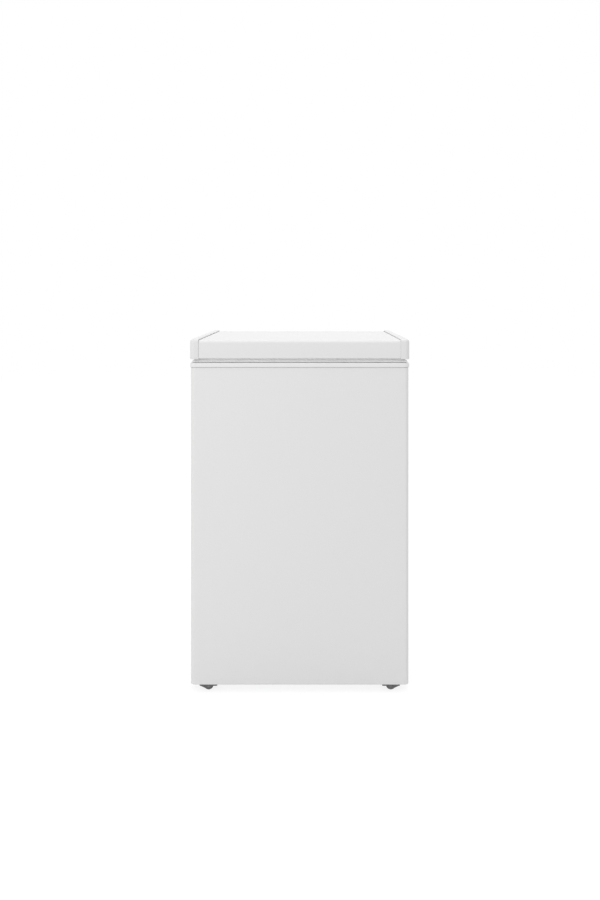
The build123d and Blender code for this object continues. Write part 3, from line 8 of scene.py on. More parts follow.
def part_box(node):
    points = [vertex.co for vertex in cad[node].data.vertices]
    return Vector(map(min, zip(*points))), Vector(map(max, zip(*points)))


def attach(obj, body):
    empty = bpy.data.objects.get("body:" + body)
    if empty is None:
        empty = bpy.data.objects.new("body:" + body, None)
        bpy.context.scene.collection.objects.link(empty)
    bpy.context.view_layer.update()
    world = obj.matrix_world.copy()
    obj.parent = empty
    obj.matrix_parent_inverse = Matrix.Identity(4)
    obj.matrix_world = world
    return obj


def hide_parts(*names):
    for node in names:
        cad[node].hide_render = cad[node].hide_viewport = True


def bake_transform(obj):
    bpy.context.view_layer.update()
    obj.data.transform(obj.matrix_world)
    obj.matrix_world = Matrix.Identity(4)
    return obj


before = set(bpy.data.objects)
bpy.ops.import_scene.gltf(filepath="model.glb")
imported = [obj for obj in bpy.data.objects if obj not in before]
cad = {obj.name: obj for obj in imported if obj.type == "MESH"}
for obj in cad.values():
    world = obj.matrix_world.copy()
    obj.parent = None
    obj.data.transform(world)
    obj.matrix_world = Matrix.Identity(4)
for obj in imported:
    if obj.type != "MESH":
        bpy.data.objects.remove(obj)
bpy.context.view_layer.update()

# ------------------------------------------------------------------------------------------------
# The studio: a level camera just under a metre high, in front of the freezer and a little to the right of
# its middle. It looks along the freezer's depth, so the cabinet's edges stay upright and parallel. Even
# white air, a softbox at the left and one above light it, on a pale floor that keeps its shadow.
camera_right = 0.025
camera_height = 0.985
camera_distance = 2.323


def linked(name, data):
    """A new object in the scene."""
    made = bpy.data.objects.new(name, data)
    bpy.context.scene.collection.objects.link(made)
    return made


camera = linked("studio_camera", bpy.data.cameras.new("studio_camera"))
camera.data.sensor_width = 36.0
camera.data.lens = 37.744
camera.data.shift_x = -0.0108888889
camera.data.shift_y = -0.175
camera.location = (camera_right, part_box("lid_trim_left")[0].y - camera_distance, camera_height)
camera.rotation_euler = (math.pi / 2, 0, 0)
bpy.context.scene.camera = camera
bpy.context.scene.view_settings.view_transform = "Standard"


class Wire:
    """One output in a node graph. + - * / and ** on it add Math nodes to that graph."""

    def __init__(self, graph, socket):
        self.graph = graph
        self.socket = socket

    def _maths(self, operation, first, second):
        return self.graph.node("ShaderNodeMath", {"operation": operation}, {0: first, 1: second})

    def __add__(self, other):
        return self._maths("ADD", self, other)

    __radd__ = __add__

    def __sub__(self, other):
        return self._maths("SUBTRACT", self, other)

    def __rsub__(self, other):
        return self._maths("SUBTRACT", other, self)

    def __mul__(self, other):
        return self._maths("MULTIPLY", self, other)

    __rmul__ = __mul__

    def __truediv__(self, other):
        return self._maths("DIVIDE", self, other)

    def __pow__(self, other):
        return self._maths("POWER", self, other)

    def above(self, other):
        """1 where this is more than the other value, and 0 elsewhere."""
        return self._maths("GREATER_THAN", self, other)


class Graph:
    """A node graph under construction, for a material, the world or a modifier."""

    def __init__(self, tree):
        self.tree = tree

    def node(self, kind, settings=None, sockets=None, out=0):
        """Adds a node: its settings first, then the values or wires of its sockets. Gives the output out."""
        made = self.tree.nodes.new(kind)
        for name, value in (settings or {}).items():
            setattr(made, name, value)
        for name, value in (sockets or {}).items():
            if isinstance(value, Wire):
                self.tree.links.new(value.socket, made.inputs[name])
            else:
                made.inputs[name].default_value = value
        return Wire(self, made.outputs[out]) if len(made.outputs) else None

    def rays(self, *kinds):
        """1 for rays of these kinds, and 0 for all others."""
        share = 0.0
        for kind in kinds:
            ray = self.node("ShaderNodeLightPath", out=f"Is {kind} Ray")
            share = self.node("ShaderNodeMath", {"operation": "MAXIMUM"}, {0: share, 1: ray})
        return share


def shade(red, green, blue):
    """An opaque colour."""
    return (red, green, blue, 1.0)


world = bpy.data.worlds.new("studio_air")
bpy.context.scene.world = world
world.use_nodes = True
world.node_tree.nodes.clear()
air = Graph(world.node_tree)
light = air.node("ShaderNodeBackground", {}, {"Color": shade(1, 1, 1), "Strength": 0.803})
backdrop = air.node("ShaderNodeBackground", {}, {"Color": shade(1, 1, 1), "Strength": 1.0})
seen = air.rays("Camera", "Transmission", "Glossy")
air.node("ShaderNodeOutputWorld", {}, {
    "Surface": air.node("ShaderNodeMixShader", {}, {0: seen, 1: light, 2: backdrop})})


def softbox(name, at, aim, width, height, power):
    """A large soft lamp that faces a point."""
    lamp = bpy.data.lights.new(name, "AREA")
    lamp.shape = "RECTANGLE"
    lamp.size = width
    lamp.size_y = height
    lamp.energy = power
    stand = linked(name, lamp)
    stand.location = at
    stand.rotation_euler = (Vector(aim) - Vector(at)).to_track_quat("-Z", "Y").to_euler()


softbox("key_softbox", (-1.8, -2.7, 1.3), (0.0, -0.28, 0.5), 1.8, 1.6, 17.94)
softbox("top_softbox", (0.1, 0.0, 2.7), (0.0, -0.1, 0.6), 2.4, 1.8, 14.1)


class Finish(Graph):
    """A material: patterns read the piece's own coordinates, and close() joins them to the surface."""

    def __init__(self, name):
        self.material = bpy.data.materials.new(name)
        self.material.use_nodes = True
        super().__init__(self.material.node_tree)
        self.tree.nodes.clear()
        self.place = self.node("ShaderNodeTexCoord", out="Object")

    def noise(self, scale, detail, stretch=None):
        """A soft random pattern with this many waves to the metre, from 0 to 1."""
        place = self.place
        if stretch is not None:
            place = self.node("ShaderNodeMapping", {}, {"Vector": place, "Scale": stretch})
        return self.node("ShaderNodeTexNoise", {}, {"Vector": place, "Scale": scale, "Detail": detail})

    def mix(self, share, first, second):
        """A colour from the first to the second."""
        return self.node("ShaderNodeMix", {"data_type": "RGBA"}, {0: share, 6: first, 7: second}, out=2)

    def relief(self, height, depth, strength):
        """A bump this deep, in metres, where height goes from 0 to 1."""
        return self.node("ShaderNodeBump", {}, {"Strength": strength, "Distance": depth, "Height": height})

    def close(self, colour, roughness, normal, **steady):
        """Ends in a surface. Its steady values are named as its sockets are, with _ for a space."""
        sockets = {"Base Color": colour, "Roughness": roughness, "Normal": normal}
        for name, value in steady.items():
            sockets[name.replace("_", " ")] = value
        surface = self.node("ShaderNodeBsdfPrincipled", {}, sockets)
        self.node("ShaderNodeOutputMaterial", {}, {"Surface": surface})
        return self.material


floor_mesh = bpy.data.meshes.new("studio_floor")
floor_mesh.from_pydata([(-6, -6, 0), (6, -6, 0), (6, 8, 0), (-6, 8, 0)], [], [(0, 1, 2, 3)])
floor = linked("studio_floor", floor_mesh)
pale = Finish("pale_floor")
matt = pale.node("ShaderNodeBsdfDiffuse", {}, {"Color": shade(0.80, 0.80, 0.80)})
faint = pale.node("ShaderNodeBsdfDiffuse", {}, {"Color": shade(0.22, 0.22, 0.22)})
lit = pale.node("ShaderNodeEmission", {}, {"Color": shade(1, 1, 1), "Strength": 0.84})
bright = pale.node("ShaderNodeAddShader", {}, {0: faint, 1: lit})
pale.node("ShaderNodeOutputMaterial", {}, {
    "Surface": pale.node("ShaderNodeMixShader", {}, {0: pale.rays("Camera", "Glossy"), 1: matt, 2: bright})})
floor_mesh.materials.append(pale.material)

# ------------------------------------------------------------------------------------------------
# Cabinet wrapper: one steel sheet, powder coated white, bent round the left, front and right of the
# cabinet. Its lower edge is folded in under the cabinet, and the white frame hides its top edge.
sheet = 0.0008
wrapper_corner = 0.011
wrapper_fold = 0.008
wrapper_bend = 0.0016
crease_angle = 35.0


def white_enamel():
    """Powder coat on steel: faint orange peel, a slow drift in tone, and slightly uneven gloss."""
    coat = Finish("white_powder_coat")
    drift = coat.noise(2.6, 1.0)
    peeled = coat.noise(520.0, 2.0)
    fine = coat.noise(2300.0, 1.0)
    colour = coat.mix(drift, shade(0.782, 0.782, 0.782), shade(0.79, 0.79, 0.79))
    relief = coat.relief(peeled * 0.8 + fine * 0.2, 0.00022, 0.10)
    return coat.close(colour, 0.42 + 0.08 * peeled, relief, Specular_IOR_Level=0.3)


enamel = white_enamel()


def put(name, mesh, material, body, slot, *nodes):
    """Places a finished piece: its material and body, and the CAD nodes it stands for. The slot is not used.
    """
    mesh.name = name
    mesh.materials.clear()
    mesh.materials.append(material)
    piece = linked(name, mesh)
    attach(piece, body)
    if nodes:
        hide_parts(*nodes)


def finished(work):
    """Turns a bmesh into a mesh with smooth rounds and sharp corners."""
    bmesh.ops.recalc_face_normals(work, faces=work.faces)
    for face in work.faces:
        face.smooth = True
    for edge in work.edges:
        edge.smooth = not (edge.is_manifold and edge.calc_face_angle(0.0) > math.radians(crease_angle))
    mesh = bpy.data.meshes.new("finished")
    work.to_mesh(mesh)
    work.free()
    return mesh


def arc(centre, radius, start, end, steps):
    """Points on a round bend in a plan or a section, angles in degrees."""
    return [
        (centre[0] + radius * math.cos(math.radians(start + (end - start) * k / steps)),
         centre[1] + radius * math.sin(math.radians(start + (end - start) * k / steps)))
        for k in range(steps + 1)
    ]


def swept(path, section, closed):
    """Carries a closed section (distance inwards, height) along a plan path whose left side is inwards."""
    work = bmesh.new()
    count = len(path)
    rings = []
    for k, (x, y) in enumerate(path):
        before = path[k - 1] if closed or k else path[0]
        after = path[(k + 1) % count] if closed or k < count - 1 else path[-1]
        first = Vector((x - before[0], y - before[1]))
        second = Vector((after[0] - x, after[1] - y))
        first = first.normalized() if first.length > 1e-9 else second.normalized()
        second = second.normalized() if second.length > 1e-9 else first
        middle = (first + second).normalized()
        normal = Vector((-middle.y, middle.x)) / max(middle.dot(first), 0.2)
        rings.append([work.verts.new((x + normal.x * n, y + normal.y * n, z)) for n, z in section])
    size = len(section)
    for k in range(count if closed else count - 1):
        here, there = rings[k], rings[(k + 1) % count]
        for j in range(size):
            work.faces.new((here[j], here[(j + 1) % size], there[(j + 1) % size], there[j]))
    if not closed:
        work.faces.new(rings[0])
        work.faces.new(rings[-1])
    return finished(work)


low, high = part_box("cabinet_wrapper")
corner_y = low.y + wrapper_corner
wrapper_side = high.y - low.y - wrapper_corner
wrapper_plan = (
    [(low.x, high.y)]
    + [(low.x, high.y - wrapper_side * k / 6) for k in range(1, 6)]
    + arc((low.x + wrapper_corner, corner_y), wrapper_corner, 180, 270, 14)
    + arc((high.x - wrapper_corner, corner_y), wrapper_corner, 270, 360, 14)
    + [(high.x, corner_y + wrapper_side * k / 6) for k in range(1, 6)]
    + [(high.x, high.y)]
)
bend_centre = (wrapper_bend, low.z + wrapper_bend)
wrapper_section = (
    [(0.0, high.z)]
    + arc(bend_centre, wrapper_bend, 180, 270, 5)
    + [(wrapper_fold, low.z), (wrapper_fold, low.z + sheet)]
    + arc(bend_centre, wrapper_bend - sheet, 270, 180, 5)
    + [(sheet, high.z)]
)
wrapper = swept(wrapper_plan, wrapper_section, closed=False)
put("cabinet_wrapper_sheet", wrapper, enamel, "cabinet", "white_paint", "cabinet_wrapper")

# ------------------------------------------------------------------------------------------------
# Back, base and carrier: bare galvanised sheet, spot welded or screwed. The rear panel closes the foam, the
# base pan is folded round the machine compartment, two channels run under the sides, and a cross plate
# carries the compressor.
soft_corner = 32.0
merge_distance = 0.000004


def galvanised(name, tint, crystal, polish):
    """Hot-dip zinc: crystals a few millimetres wide that differ a little in tone and gloss, and faint
    rolling marks."""
    zinc = Finish(name)
    crystals = zinc.node("ShaderNodeTexVoronoi", {"feature": "F1"}, {
        "Vector": zinc.place, "Scale": 1.0 / crystal}, out="Color")
    facet = zinc.node("ShaderNodeSeparateColor", {}, {0: crystals}, out="Red")
    rolled = zinc.noise(90.0, 3.0, (1.0, 1.0, 0.04))
    dull = zinc.noise(3.0, 3.0)
    dark, light = shade(*(c * 0.90 for c in tint)), shade(*(min(c * 1.07, 1.0) for c in tint))
    tone = zinc.mix(0.25 * facet + 0.25 * rolled + 0.5 * dull, dark, light)
    gloss = polish + 0.10 * facet + 0.10 * dull
    return zinc.close(tone, gloss, zinc.relief(rolled * 0.6 + facet * 0.4, 0.00008, 0.35), Metallic=0.85)


def softened():
    """A modifier tree that joins a CAD shell's loose triangles and shades it smooth up to its corners."""
    tree = bpy.data.node_groups.new("soft_rounds", "GeometryNodeTree")
    tree.interface.new_socket("Geometry", in_out="INPUT", socket_type="NodeSocketGeometry")
    angle = tree.interface.new_socket("Corner angle", in_out="INPUT", socket_type="NodeSocketFloat")
    angle.default_value = math.radians(soft_corner)
    tree.interface.new_socket("Geometry", in_out="OUTPUT", socket_type="NodeSocketGeometry")
    form = Graph(tree)
    source = form.node("NodeGroupInput", out="Geometry")
    whole = form.node("GeometryNodeMergeByDistance", {}, {"Geometry": source, "Distance": merge_distance})
    smooth = form.node("GeometryNodeSetShadeSmooth", {"domain": "FACE"}, {0: whole, 2: True})
    limit = form.node("NodeGroupInput", out="Corner angle")
    corner = form.node("GeometryNodeInputMeshEdgeAngle").above(limit)
    done = form.node("GeometryNodeSetShadeSmooth", {"domain": "EDGE"}, {0: smooth, 1: corner, 2: False})
    form.node("NodeGroupOutput", {}, {0: done})
    return tree


soft_rounds = softened()


def dress(material, *nodes):
    """Gives pieces that show as the CAD made them their finish, with smooth rounds."""
    for node in nodes:
        piece = cad[node]
        piece.data.materials.clear()
        piece.data.materials.append(material)
        piece.modifiers.new("soft_rounds", "NODES").node_group = soft_rounds


zinc_sheet = galvanised("galvanised_sheet_steel", (0.60, 0.62, 0.63), 0.0045, 0.36)
dress(zinc_sheet, "rear_panel", "base_pan", "base_rail_left", "base_rail_right", "compressor_carrier",
      "cabinet_anchor_plates")

# ------------------------------------------------------------------------------------------------
# Tub: aluminium sheet, folded and bonded into a box with a step over the machine compartment, in white
# baked enamel with a very faint embossing. It hangs from its flange on the foam.


def tub_enamel():
    """Baked white enamel on embossed sheet: low rounded pits one to two millimetres apart, satin gloss."""
    coat = Finish("embossed_tub_enamel")
    pits = coat.node("ShaderNodeTexVoronoi", {"feature": "SMOOTH_F1"}, {
        "Vector": coat.place, "Scale": 640.0, "Smoothness": 0.6}, out="Distance")
    drift = coat.noise(3.0, 2.0)
    tone = coat.mix(drift, shade(0.80, 0.812, 0.816), shade(0.83, 0.842, 0.846))
    return coat.close(tone, 0.36 + 0.10 * drift, coat.relief(pits, 0.00012, 0.25), Coat_Weight=0.1)


dress(tub_enamel(), "inner_liner")

# ------------------------------------------------------------------------------------------------
# Foam: rigid yellow polyurethane, blown in between the sheets. It sets with small closed cells and flow
# marks, and carries the tub and the tubes.


def blown_foam():
    """Set foam: fine cells, and slow flow marks in its tone."""
    foam = Finish("polyurethane_foam")
    cells = foam.node("ShaderNodeTexVoronoi", {"feature": "F1"}, {
        "Vector": foam.place, "Scale": 900.0}, out="Distance")
    flow = foam.noise(14.0, 4.0)
    tone = foam.mix(flow * 0.7 + cells * 0.5, shade(0.80, 0.68, 0.40), shade(0.90, 0.80, 0.54))
    return foam.close(tone, 0.9, foam.relief(cells * 0.4 + flow, 0.0008, 0.6))


yellow_foam = blown_foam()
dress(yellow_foam, "cabinet_foam")

# ------------------------------------------------------------------------------------------------
# Frame: one moulded white ABS ring round the cabinet's mouth. It snaps over the wrapper's top edge and the
# tub's flange, and its rounded outer edge stands a little proud of the wrapper. A thin dark grey strip under
# its lip paints the shade line that falls there.
lip_drop = 0.0111
lip_round = 0.0005
frame_corner = 0.013
shade_strip_height = 0.0006
shade_strip_depth = 0.0004
touch = 0.0001
outline_band = 0.001


def moulded(name, tint, gloss, grain, depth, shine=0.5):
    """Moulded plastic: a fine even grain from the tool, slow drift in gloss, faint flow marks in tone."""
    plastic = Finish(name)
    fine = plastic.noise(grain, 2.0)
    flow = plastic.noise(6.0, 2.0)
    tone = plastic.mix(flow, shade(*(c * 0.975 for c in tint)), shade(*(min(c * 1.01, 1.0) for c in tint)))
    return plastic.close(tone, gloss - 0.04 + 0.08 * flow, plastic.relief(fine, depth, 0.3),
                         Specular_IOR_Level=shine)


def merged_copy(node):
    """A bmesh of a CAD node with its loose triangles joined."""
    work = bmesh.new()
    work.from_mesh(cad[node].data)
    bmesh.ops.remove_doubles(work, verts=work.verts, dist=merge_distance)
    bmesh.ops.dissolve_limit(work, angle_limit=math.radians(0.4), verts=work.verts, edges=work.edges)
    return work


def eased(work, width, chosen):
    """Rounds the edges whose two ends both pass a test."""
    picked = [edge for edge in work.edges if all(chosen(vertex.co) for vertex in edge.verts)]
    bmesh.ops.bevel(work, geom=picked, offset=width, segments=3, profile=0.5, affect="EDGES",
                    clamp_overlap=True)
    return work


def on_outline(across, down, corner):
    """Whether a point this far inside two sides lies on them or on the round corner between them."""
    if across < corner and down < corner:
        return math.hypot(corner - across, corner - down) > corner - outline_band
    return across < outline_band or down < outline_band


low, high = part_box("top_frame")
lip_foot = high.z - lip_drop


def on_lip_foot(place):
    """Whether a point lies on the lower outer edge of the frame's lip."""
    if abs(place.z - lip_foot) > touch:
        return False
    return on_outline(high.x - abs(place.x), place.y - low.y, frame_corner)


white_abs = moulded("moulded_white_abs", (0.775, 0.775, 0.775), 0.42, 1500.0, 0.00006, 0.3)
# The frame's white is set lighter than the trims' ABS: painted light, standing in for the highlight along
# its rounded top edge.
frame_abs_painted_light = moulded("glossy_frame_abs_painted_light", (0.81, 0.81, 0.81), 0.36, 1500.0, 0.00006, 0.5)
frame_ring = eased(merged_copy("top_frame"), lip_round, on_lip_foot)
put("top_frame_moulding", finished(frame_ring), frame_abs_painted_light, "cabinet", "white_plastic", "top_frame")
# A dark grey strip just under the lip's foot: painted shade, the fine shadow line that falls under the lip.
shade_strip_foot = lip_foot - shade_strip_height
shade_strip_section = [(0.0, shade_strip_foot), (0.0, lip_foot), (-shade_strip_depth, lip_foot), (-shade_strip_depth, shade_strip_foot)]
shade_strip_grey = moulded("grey_strip_painted_shade", (0.16, 0.16, 0.16), 0.8, 1400.0, 0.0001, 0.2)
shade_strip = swept(wrapper_plan, shade_strip_section, closed=False)
put("frame_painted_shade_strip", shade_strip, shade_strip_grey, "cabinet", "black_rubber")

# ------------------------------------------------------------------------------------------------
# Refrigerant tubes in the foam: the evaporator is aluminium tube wound on the tub, and the condenser
# copper-washed steel tube taped inside the wrapper. The capillary, suction and discharge lines and the
# thermostat's sensor are copper.


def drawn_tube(name, tint, gloss, stain):
    """Drawn metal tube: fine length marks, and slow staining where it was handled and brazed."""
    tube = Finish(name)
    marks = tube.noise(420.0, 2.0)
    patina = tube.noise(24.0, 4.0)
    tone = tube.mix(patina, shade(*stain), shade(*tint))
    return tube.close(tone, gloss + 0.22 * patina, tube.relief(marks, 0.00004, 0.3), Metallic=1.0)


copper = drawn_tube("drawn_copper", (0.80, 0.42, 0.26), 0.22, (0.46, 0.22, 0.13))
dress(copper, "capillary_tube", "sensor_tube", "suction_tube", "discharge_tube", "filter_drier")
dress(drawn_tube("aluminium_tube", (0.76, 0.77, 0.78), 0.30, (0.58, 0.59, 0.60)), "evaporator_tube")
dress(drawn_tube("copper_washed_steel", (0.50, 0.33, 0.24), 0.34, (0.26, 0.18, 0.14)), "condenser_tube")

# ------------------------------------------------------------------------------------------------
# Drain: a white plastic tube through the floor with a thin flange in the tub, capped under the base, and a
# soft plug with a finger tab that closes it from inside.


def soft_rubber(name, tint, gloss):
    """Moulded rubber: matt, with a faint bloom and small moulding pits."""
    rubber = Finish(name)
    bloom = rubber.noise(40.0, 4.0)
    pits = rubber.noise(900.0, 2.0)
    tone = rubber.mix(bloom, shade(*(c * 0.9 for c in tint)), shade(*(min(c * 1.12, 1.0) for c in tint)))
    return rubber.close(tone, gloss + 0.14 * bloom, rubber.relief(pits, 0.0001, 0.4))


dress(white_abs, "drain_tube")
dress(soft_rubber("soft_white_rubber", (0.72, 0.72, 0.72), 0.55), "drain_plug")

# ------------------------------------------------------------------------------------------------
# Rollers: four moulded grey wheels, dished on both sides between the hub and the rim, on zinc-plated steel
# axles coloured much darker than the bright zinc. Each turns in a flanged housing pressed up into the base
# rail, so only the lower part of the wheel stands out.
roller_corners = "front_left", "front_right", "rear_left", "rear_right"
flange_drop = 0.017
flange_half = 0.022, 0.015
flange_rim = 0.002
flange_rim_width = 0.003
axle_bore = 0.00256
hub_wall = 0.0017
rim_wall = 0.0026
roller_dish = 0.0016
dish_round = 0.0005
roller_ease = 0.0003
tread_shoulder = [(0.0, 0.0014), (0.0004, 0.0005), (0.0012, 0.0)]
mould_line_half = 0.0003
mould_line_depth = 0.0001


def zinc_plate(name, tint):
    """Zinc plating, with soft cloudy blotches and fine turning marks."""
    plate = Finish(name)
    cloud = plate.noise(60.0, 3.0)
    marks = plate.noise(1400.0, 1.0)
    tone = plate.mix(cloud, shade(*(c * 0.86 for c in tint)), shade(*tint))
    return plate.close(tone, 0.24 + 0.16 * cloud, plate.relief(marks, 0.00003, 0.3), Metallic=1.0)


def turned(centre, profile, steps):
    """Spins a closed profile of (along, radius) about an axis through centre that runs along Y."""
    work = bmesh.new()
    rings = []
    for along, radius in profile:
        rings.append([
            work.verts.new((centre[0] + radius * math.cos(2 * math.pi * k / steps), centre[1] + along,
                            centre[2] + radius * math.sin(2 * math.pi * k / steps)))
            for k in range(steps)
        ])
    for here, there in zip(rings, rings[1:] + rings[:1]):
        for k in range(steps):
            work.faces.new((here[k], here[(k + 1) % steps], there[(k + 1) % steps], there[k]))
    bmesh.ops.remove_doubles(work, verts=work.verts, dist=0.000002)
    return finished(work)


grey_nylon = moulded("moulded_grey_nylon", (0.14, 0.14, 0.14), 0.46, 700.0, 0.0001)
bright_zinc = zinc_plate("bright_zinc", (0.72, 0.735, 0.75))
dress(zinc_plate("darkened_zinc", (0.26, 0.26, 0.265)), "roller_axles")
flange_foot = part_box("roller_housings")[1].z - flange_drop


def on_flange_rim(place):
    """Whether a point is on the foot of a housing's flange: on its long edges, or on the rim at its ends."""
    if abs(place.z - flange_foot) > touch:
        return False
    for corner in roller_corners:
        middle = sum(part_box("roller_" + corner), Vector()) / 2
        aside, ahead = (abs(place[k] - middle[k]) - flange_half[k] for k in (0, 1))
        if max(aside, ahead) < touch and (aside > -flange_rim_width - touch or ahead > -touch):
            return True
    return False


housings = merged_copy("roller_housings")
for vertex in housings.verts:
    if on_flange_rim(vertex.co):
        vertex.co.z -= flange_rim
bmesh.ops.connect_verts_nonplanar(housings, angle_limit=0.001, faces=housings.faces)
put("roller_housing_mouldings", finished(housings), grey_nylon, "cabinet", "grey_plastic", "roller_housings")
for corner in roller_corners:
    low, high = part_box("roller_" + corner)
    half, tyre = (high.y - low.y) / 2, (high.z - low.z) / 2
    hub, rim, web = axle_bore + hub_wall, tyre - rim_wall, half - roller_dish
    face = [
        (half, axle_bore), (half, hub), (half - roller_ease, hub + roller_ease),
        (web + roller_ease, hub + dish_round), (web, hub + 2 * dish_round), (web, rim - 2 * dish_round),
        (web + roller_ease, rim - dish_round), (half - roller_ease, rim - roller_ease), (half, rim)
    ]
    face += [(half - inward, tyre - down) for inward, down in tread_shoulder]
    face += [(mould_line_half, tyre), (mould_line_half, tyre - mould_line_depth)]
    profile = [(-along, radius) for along, radius in face] + face[::-1]
    wheel = turned((low + high) / 2, profile, steps=48)
    put("roller_wheel_" + corner, wheel, grey_nylon, "roller_" + corner, "grey_plastic", "roller_" + corner)

# ------------------------------------------------------------------------------------------------
# Compressor: two pressed steel halves in black enamel, welded together at a flange, on a foot plate that
# stands on four rubber mounts bolted to the carrier. The relay's plastic cover clips on its side, and a
# pinched copper charging tube sticks out at the back.
shell_flange = 0.004
seam_share = 0.55
seam_lift = 0.005
weld_radius = 0.0016
weld_out = 0.0008
weld_width = 1.2
weld_lift = 0.25
charging_tube = 0.0032
charging_side = 0.45
charging_height = 0.045
pinch_start = 0.010
pinch_length = 0.009
pinch_flatter = 0.72
pinch_wider = 0.35
black_enamel = moulded("black_enamel", (0.022, 0.022, 0.024), 0.34, 260.0, 0.00025)
black_abs = moulded("moulded_black_plastic", (0.032, 0.032, 0.034), 0.48, 900.0, 0.00008)
dress(black_enamel, "compressor_shell", "compressor_feet")
dress(soft_rubber("black_rubber_mounts", (0.022, 0.022, 0.022), 0.62), "compressor_grommets")
dress(bright_zinc, "compressor_bolts")
dress(black_abs, "relay_cover")
low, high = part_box("compressor_shell")
middle = (low + high) / 2
half_x, half_y = (high.x - low.x) / 2 - shell_flange, (high.y - low.y) / 2 - shell_flange
seam_z = low.z + (high.z - low.z) * seam_share + seam_lift
weld_plan = [
    (middle.x + (half_x + weld_out) * math.cos(math.radians(2.5 * k)),
     middle.y + (half_y + weld_out) * math.sin(math.radians(2.5 * k)))
    for k in range(144)
]
bead = [
    (weld_radius * math.cos(math.radians(45 * k)) * weld_width,
     seam_z + weld_radius * (weld_lift + math.sin(math.radians(45 * k))))
    for k in range(8)
]
put("compressor_weld", swept(weld_plan, bead, closed=True), black_enamel, "cabinet", "black_paint")
tube_x, tube_z = middle.x - half_x * charging_side, low.z + charging_height
tube_y = middle.y + half_y * math.sqrt(1 - charging_side ** 2)
stub_profile = [
    (-0.004, 0.0), (-0.004, charging_tube), (0.0, charging_tube), (0.0185, charging_tube),
    (0.020, charging_tube * 0.9), (0.0215, charging_tube * 0.55), (0.0222, 0.0)
]
stub = turned((tube_x, tube_y, tube_z), stub_profile, steps=20)
for vertex in stub.vertices:
    flat = min(max((vertex.co.y - tube_y - pinch_start) / pinch_length, 0.0), 1.0)
    vertex.co.z = tube_z + (vertex.co.z - tube_z) * (1 - pinch_flatter * flat)
    vertex.co.x = tube_x + (vertex.co.x - tube_x) * (1 + pinch_wider * flat)
put("charging_tube", stub, copper, "cabinet", "copper")

# ------------------------------------------------------------------------------------------------
# Rear grille: a galvanised plate over the machine compartment, screwed to two brackets and to the base.
# Each air slot has a rolled lip. The mains lead's gland is clipped in, and the thermostat's dial plate lies
# behind its knob.
slot_columns = 4
slot_rows = 7
slot_length = 0.056
slot_height = 0.006
slot_pitch = (0.070, 0.014)
slot_lip = 0.0006
dial_bore = 0.0075
dial_radius = 0.028
dial_thick = 0.0005
dial_ease = (0.0003, 0.0002)
skin = 0.00001
scale_start = 225
scale_sweep = 270
tick_count = 28
ticks_per_mark = 9
short_tick = (0.0218, 0.0014, 0.0004)
long_tick = (0.0215, 0.0022, 0.0006)
figure_radius = 0.0251
figure_size = 0.0044
ink_thick = 0.00008
pointer_radius = 0.0163
pointer_size = (0.0042, 0.0008, 0.00012)
pointer_seat = 0.003
dress(zinc_sheet, "rear_grille", "grille_brackets")
dress(black_abs, "cable_gland", "thermostat_body")
dress(bright_zinc, "thermostat_shaft")


def sized_tree(name, *sizes):
    """An empty modifier tree with inputs for these sizes and for its finish, and the graph that fills it."""
    tree = bpy.data.node_groups.new(name, "GeometryNodeTree")
    tree.interface.new_socket("Geometry", in_out="INPUT", socket_type="NodeSocketGeometry")
    for size in sizes:
        tree.interface.new_socket(size, in_out="INPUT", socket_type="NodeSocketFloat")
    tree.interface.new_socket("Finish", in_out="INPUT", socket_type="NodeSocketMaterial")
    tree.interface.new_socket("Geometry", in_out="OUTPUT", socket_type="NodeSocketGeometry")
    return tree, Graph(tree)


def size_of(form, name):
    """One of a tree's own inputs."""
    return form.node("NodeGroupInput", out=name)


def together(form, *pieces):
    """Joins the geometry of several wires."""
    whole = form.node("GeometryNodeJoinGeometry")
    for piece in pieces:
        form.tree.links.new(piece.socket, whole.socket.node.inputs[0])
    return whole


def made_solid(form, geometry):
    """Ends a tree: real geometry instead of instances, with its finish."""
    real = form.node("GeometryNodeRealizeInstances", {}, {0: geometry})
    finish = size_of(form, "Finish")
    painted = form.node("GeometryNodeSetMaterial", {}, {"Geometry": real, "Material": finish})
    form.node("NodeGroupOutput", {}, {0: painted})


def plain_mesh(stock):
    """What an object's modifier or its lettering makes, as a mesh. The object itself goes."""
    bpy.context.view_layer.update()
    graph = bpy.context.evaluated_depsgraph_get()
    mesh = bpy.data.meshes.new_from_object(stock.evaluated_get(graph), depsgraph=graph)
    bpy.data.objects.remove(stock)
    return mesh


def grown(tree, start, sizes, finish):
    """Runs a tree on a start mesh with these sizes and this finish, and returns what it makes."""
    stock = linked("stock", start)
    modifier = stock.modifiers.new("form", "NODES")
    modifier.node_group = tree
    values = {**sizes, "Finish": finish}
    for socket in tree.interface.items_tree:
        if socket.in_out == "INPUT" and socket.name in values:
            modifier[socket.identifier] = values[socket.name]
    return plain_mesh(stock)


def wire_tree():
    """Bent wire along each run of edges, with a round bend at each corner and round ends."""
    tree, form = sized_tree("bent_wire", "Wire radius", "Bend radius")
    wire = size_of(form, "Wire radius")
    runs = form.node("GeometryNodeMeshToCurve", {}, {"Mesh": size_of(form, "Geometry")})
    bends = form.node("GeometryNodeFilletCurve", {"mode": "POLY"}, {
        "Curve": runs, "Count": 6, "Radius": size_of(form, "Bend radius"), "Limit Radius": True})
    section = form.node("GeometryNodeCurvePrimitiveCircle", {"mode": "RADIUS"}, {
        "Resolution": 12, "Radius": wire})
    bars = form.node("GeometryNodeCurveToMesh", {}, {"Curve": bends, "Profile Curve": section})
    drop = form.node("GeometryNodeMeshIcoSphere", {}, {"Radius": wire, "Subdivisions": 2})
    ends = form.node("GeometryNodeCurveEndpointSelection", {}, {0: 1, 1: 1})
    tips = form.node("GeometryNodeInstanceOnPoints", {}, {
        "Points": bends, "Selection": ends, "Instance": drop})
    whole = together(form, bars, tips)
    made_solid(form, form.node("GeometryNodeSetShadeSmooth", {"domain": "FACE"}, {0: whole, 2: True}))
    return tree


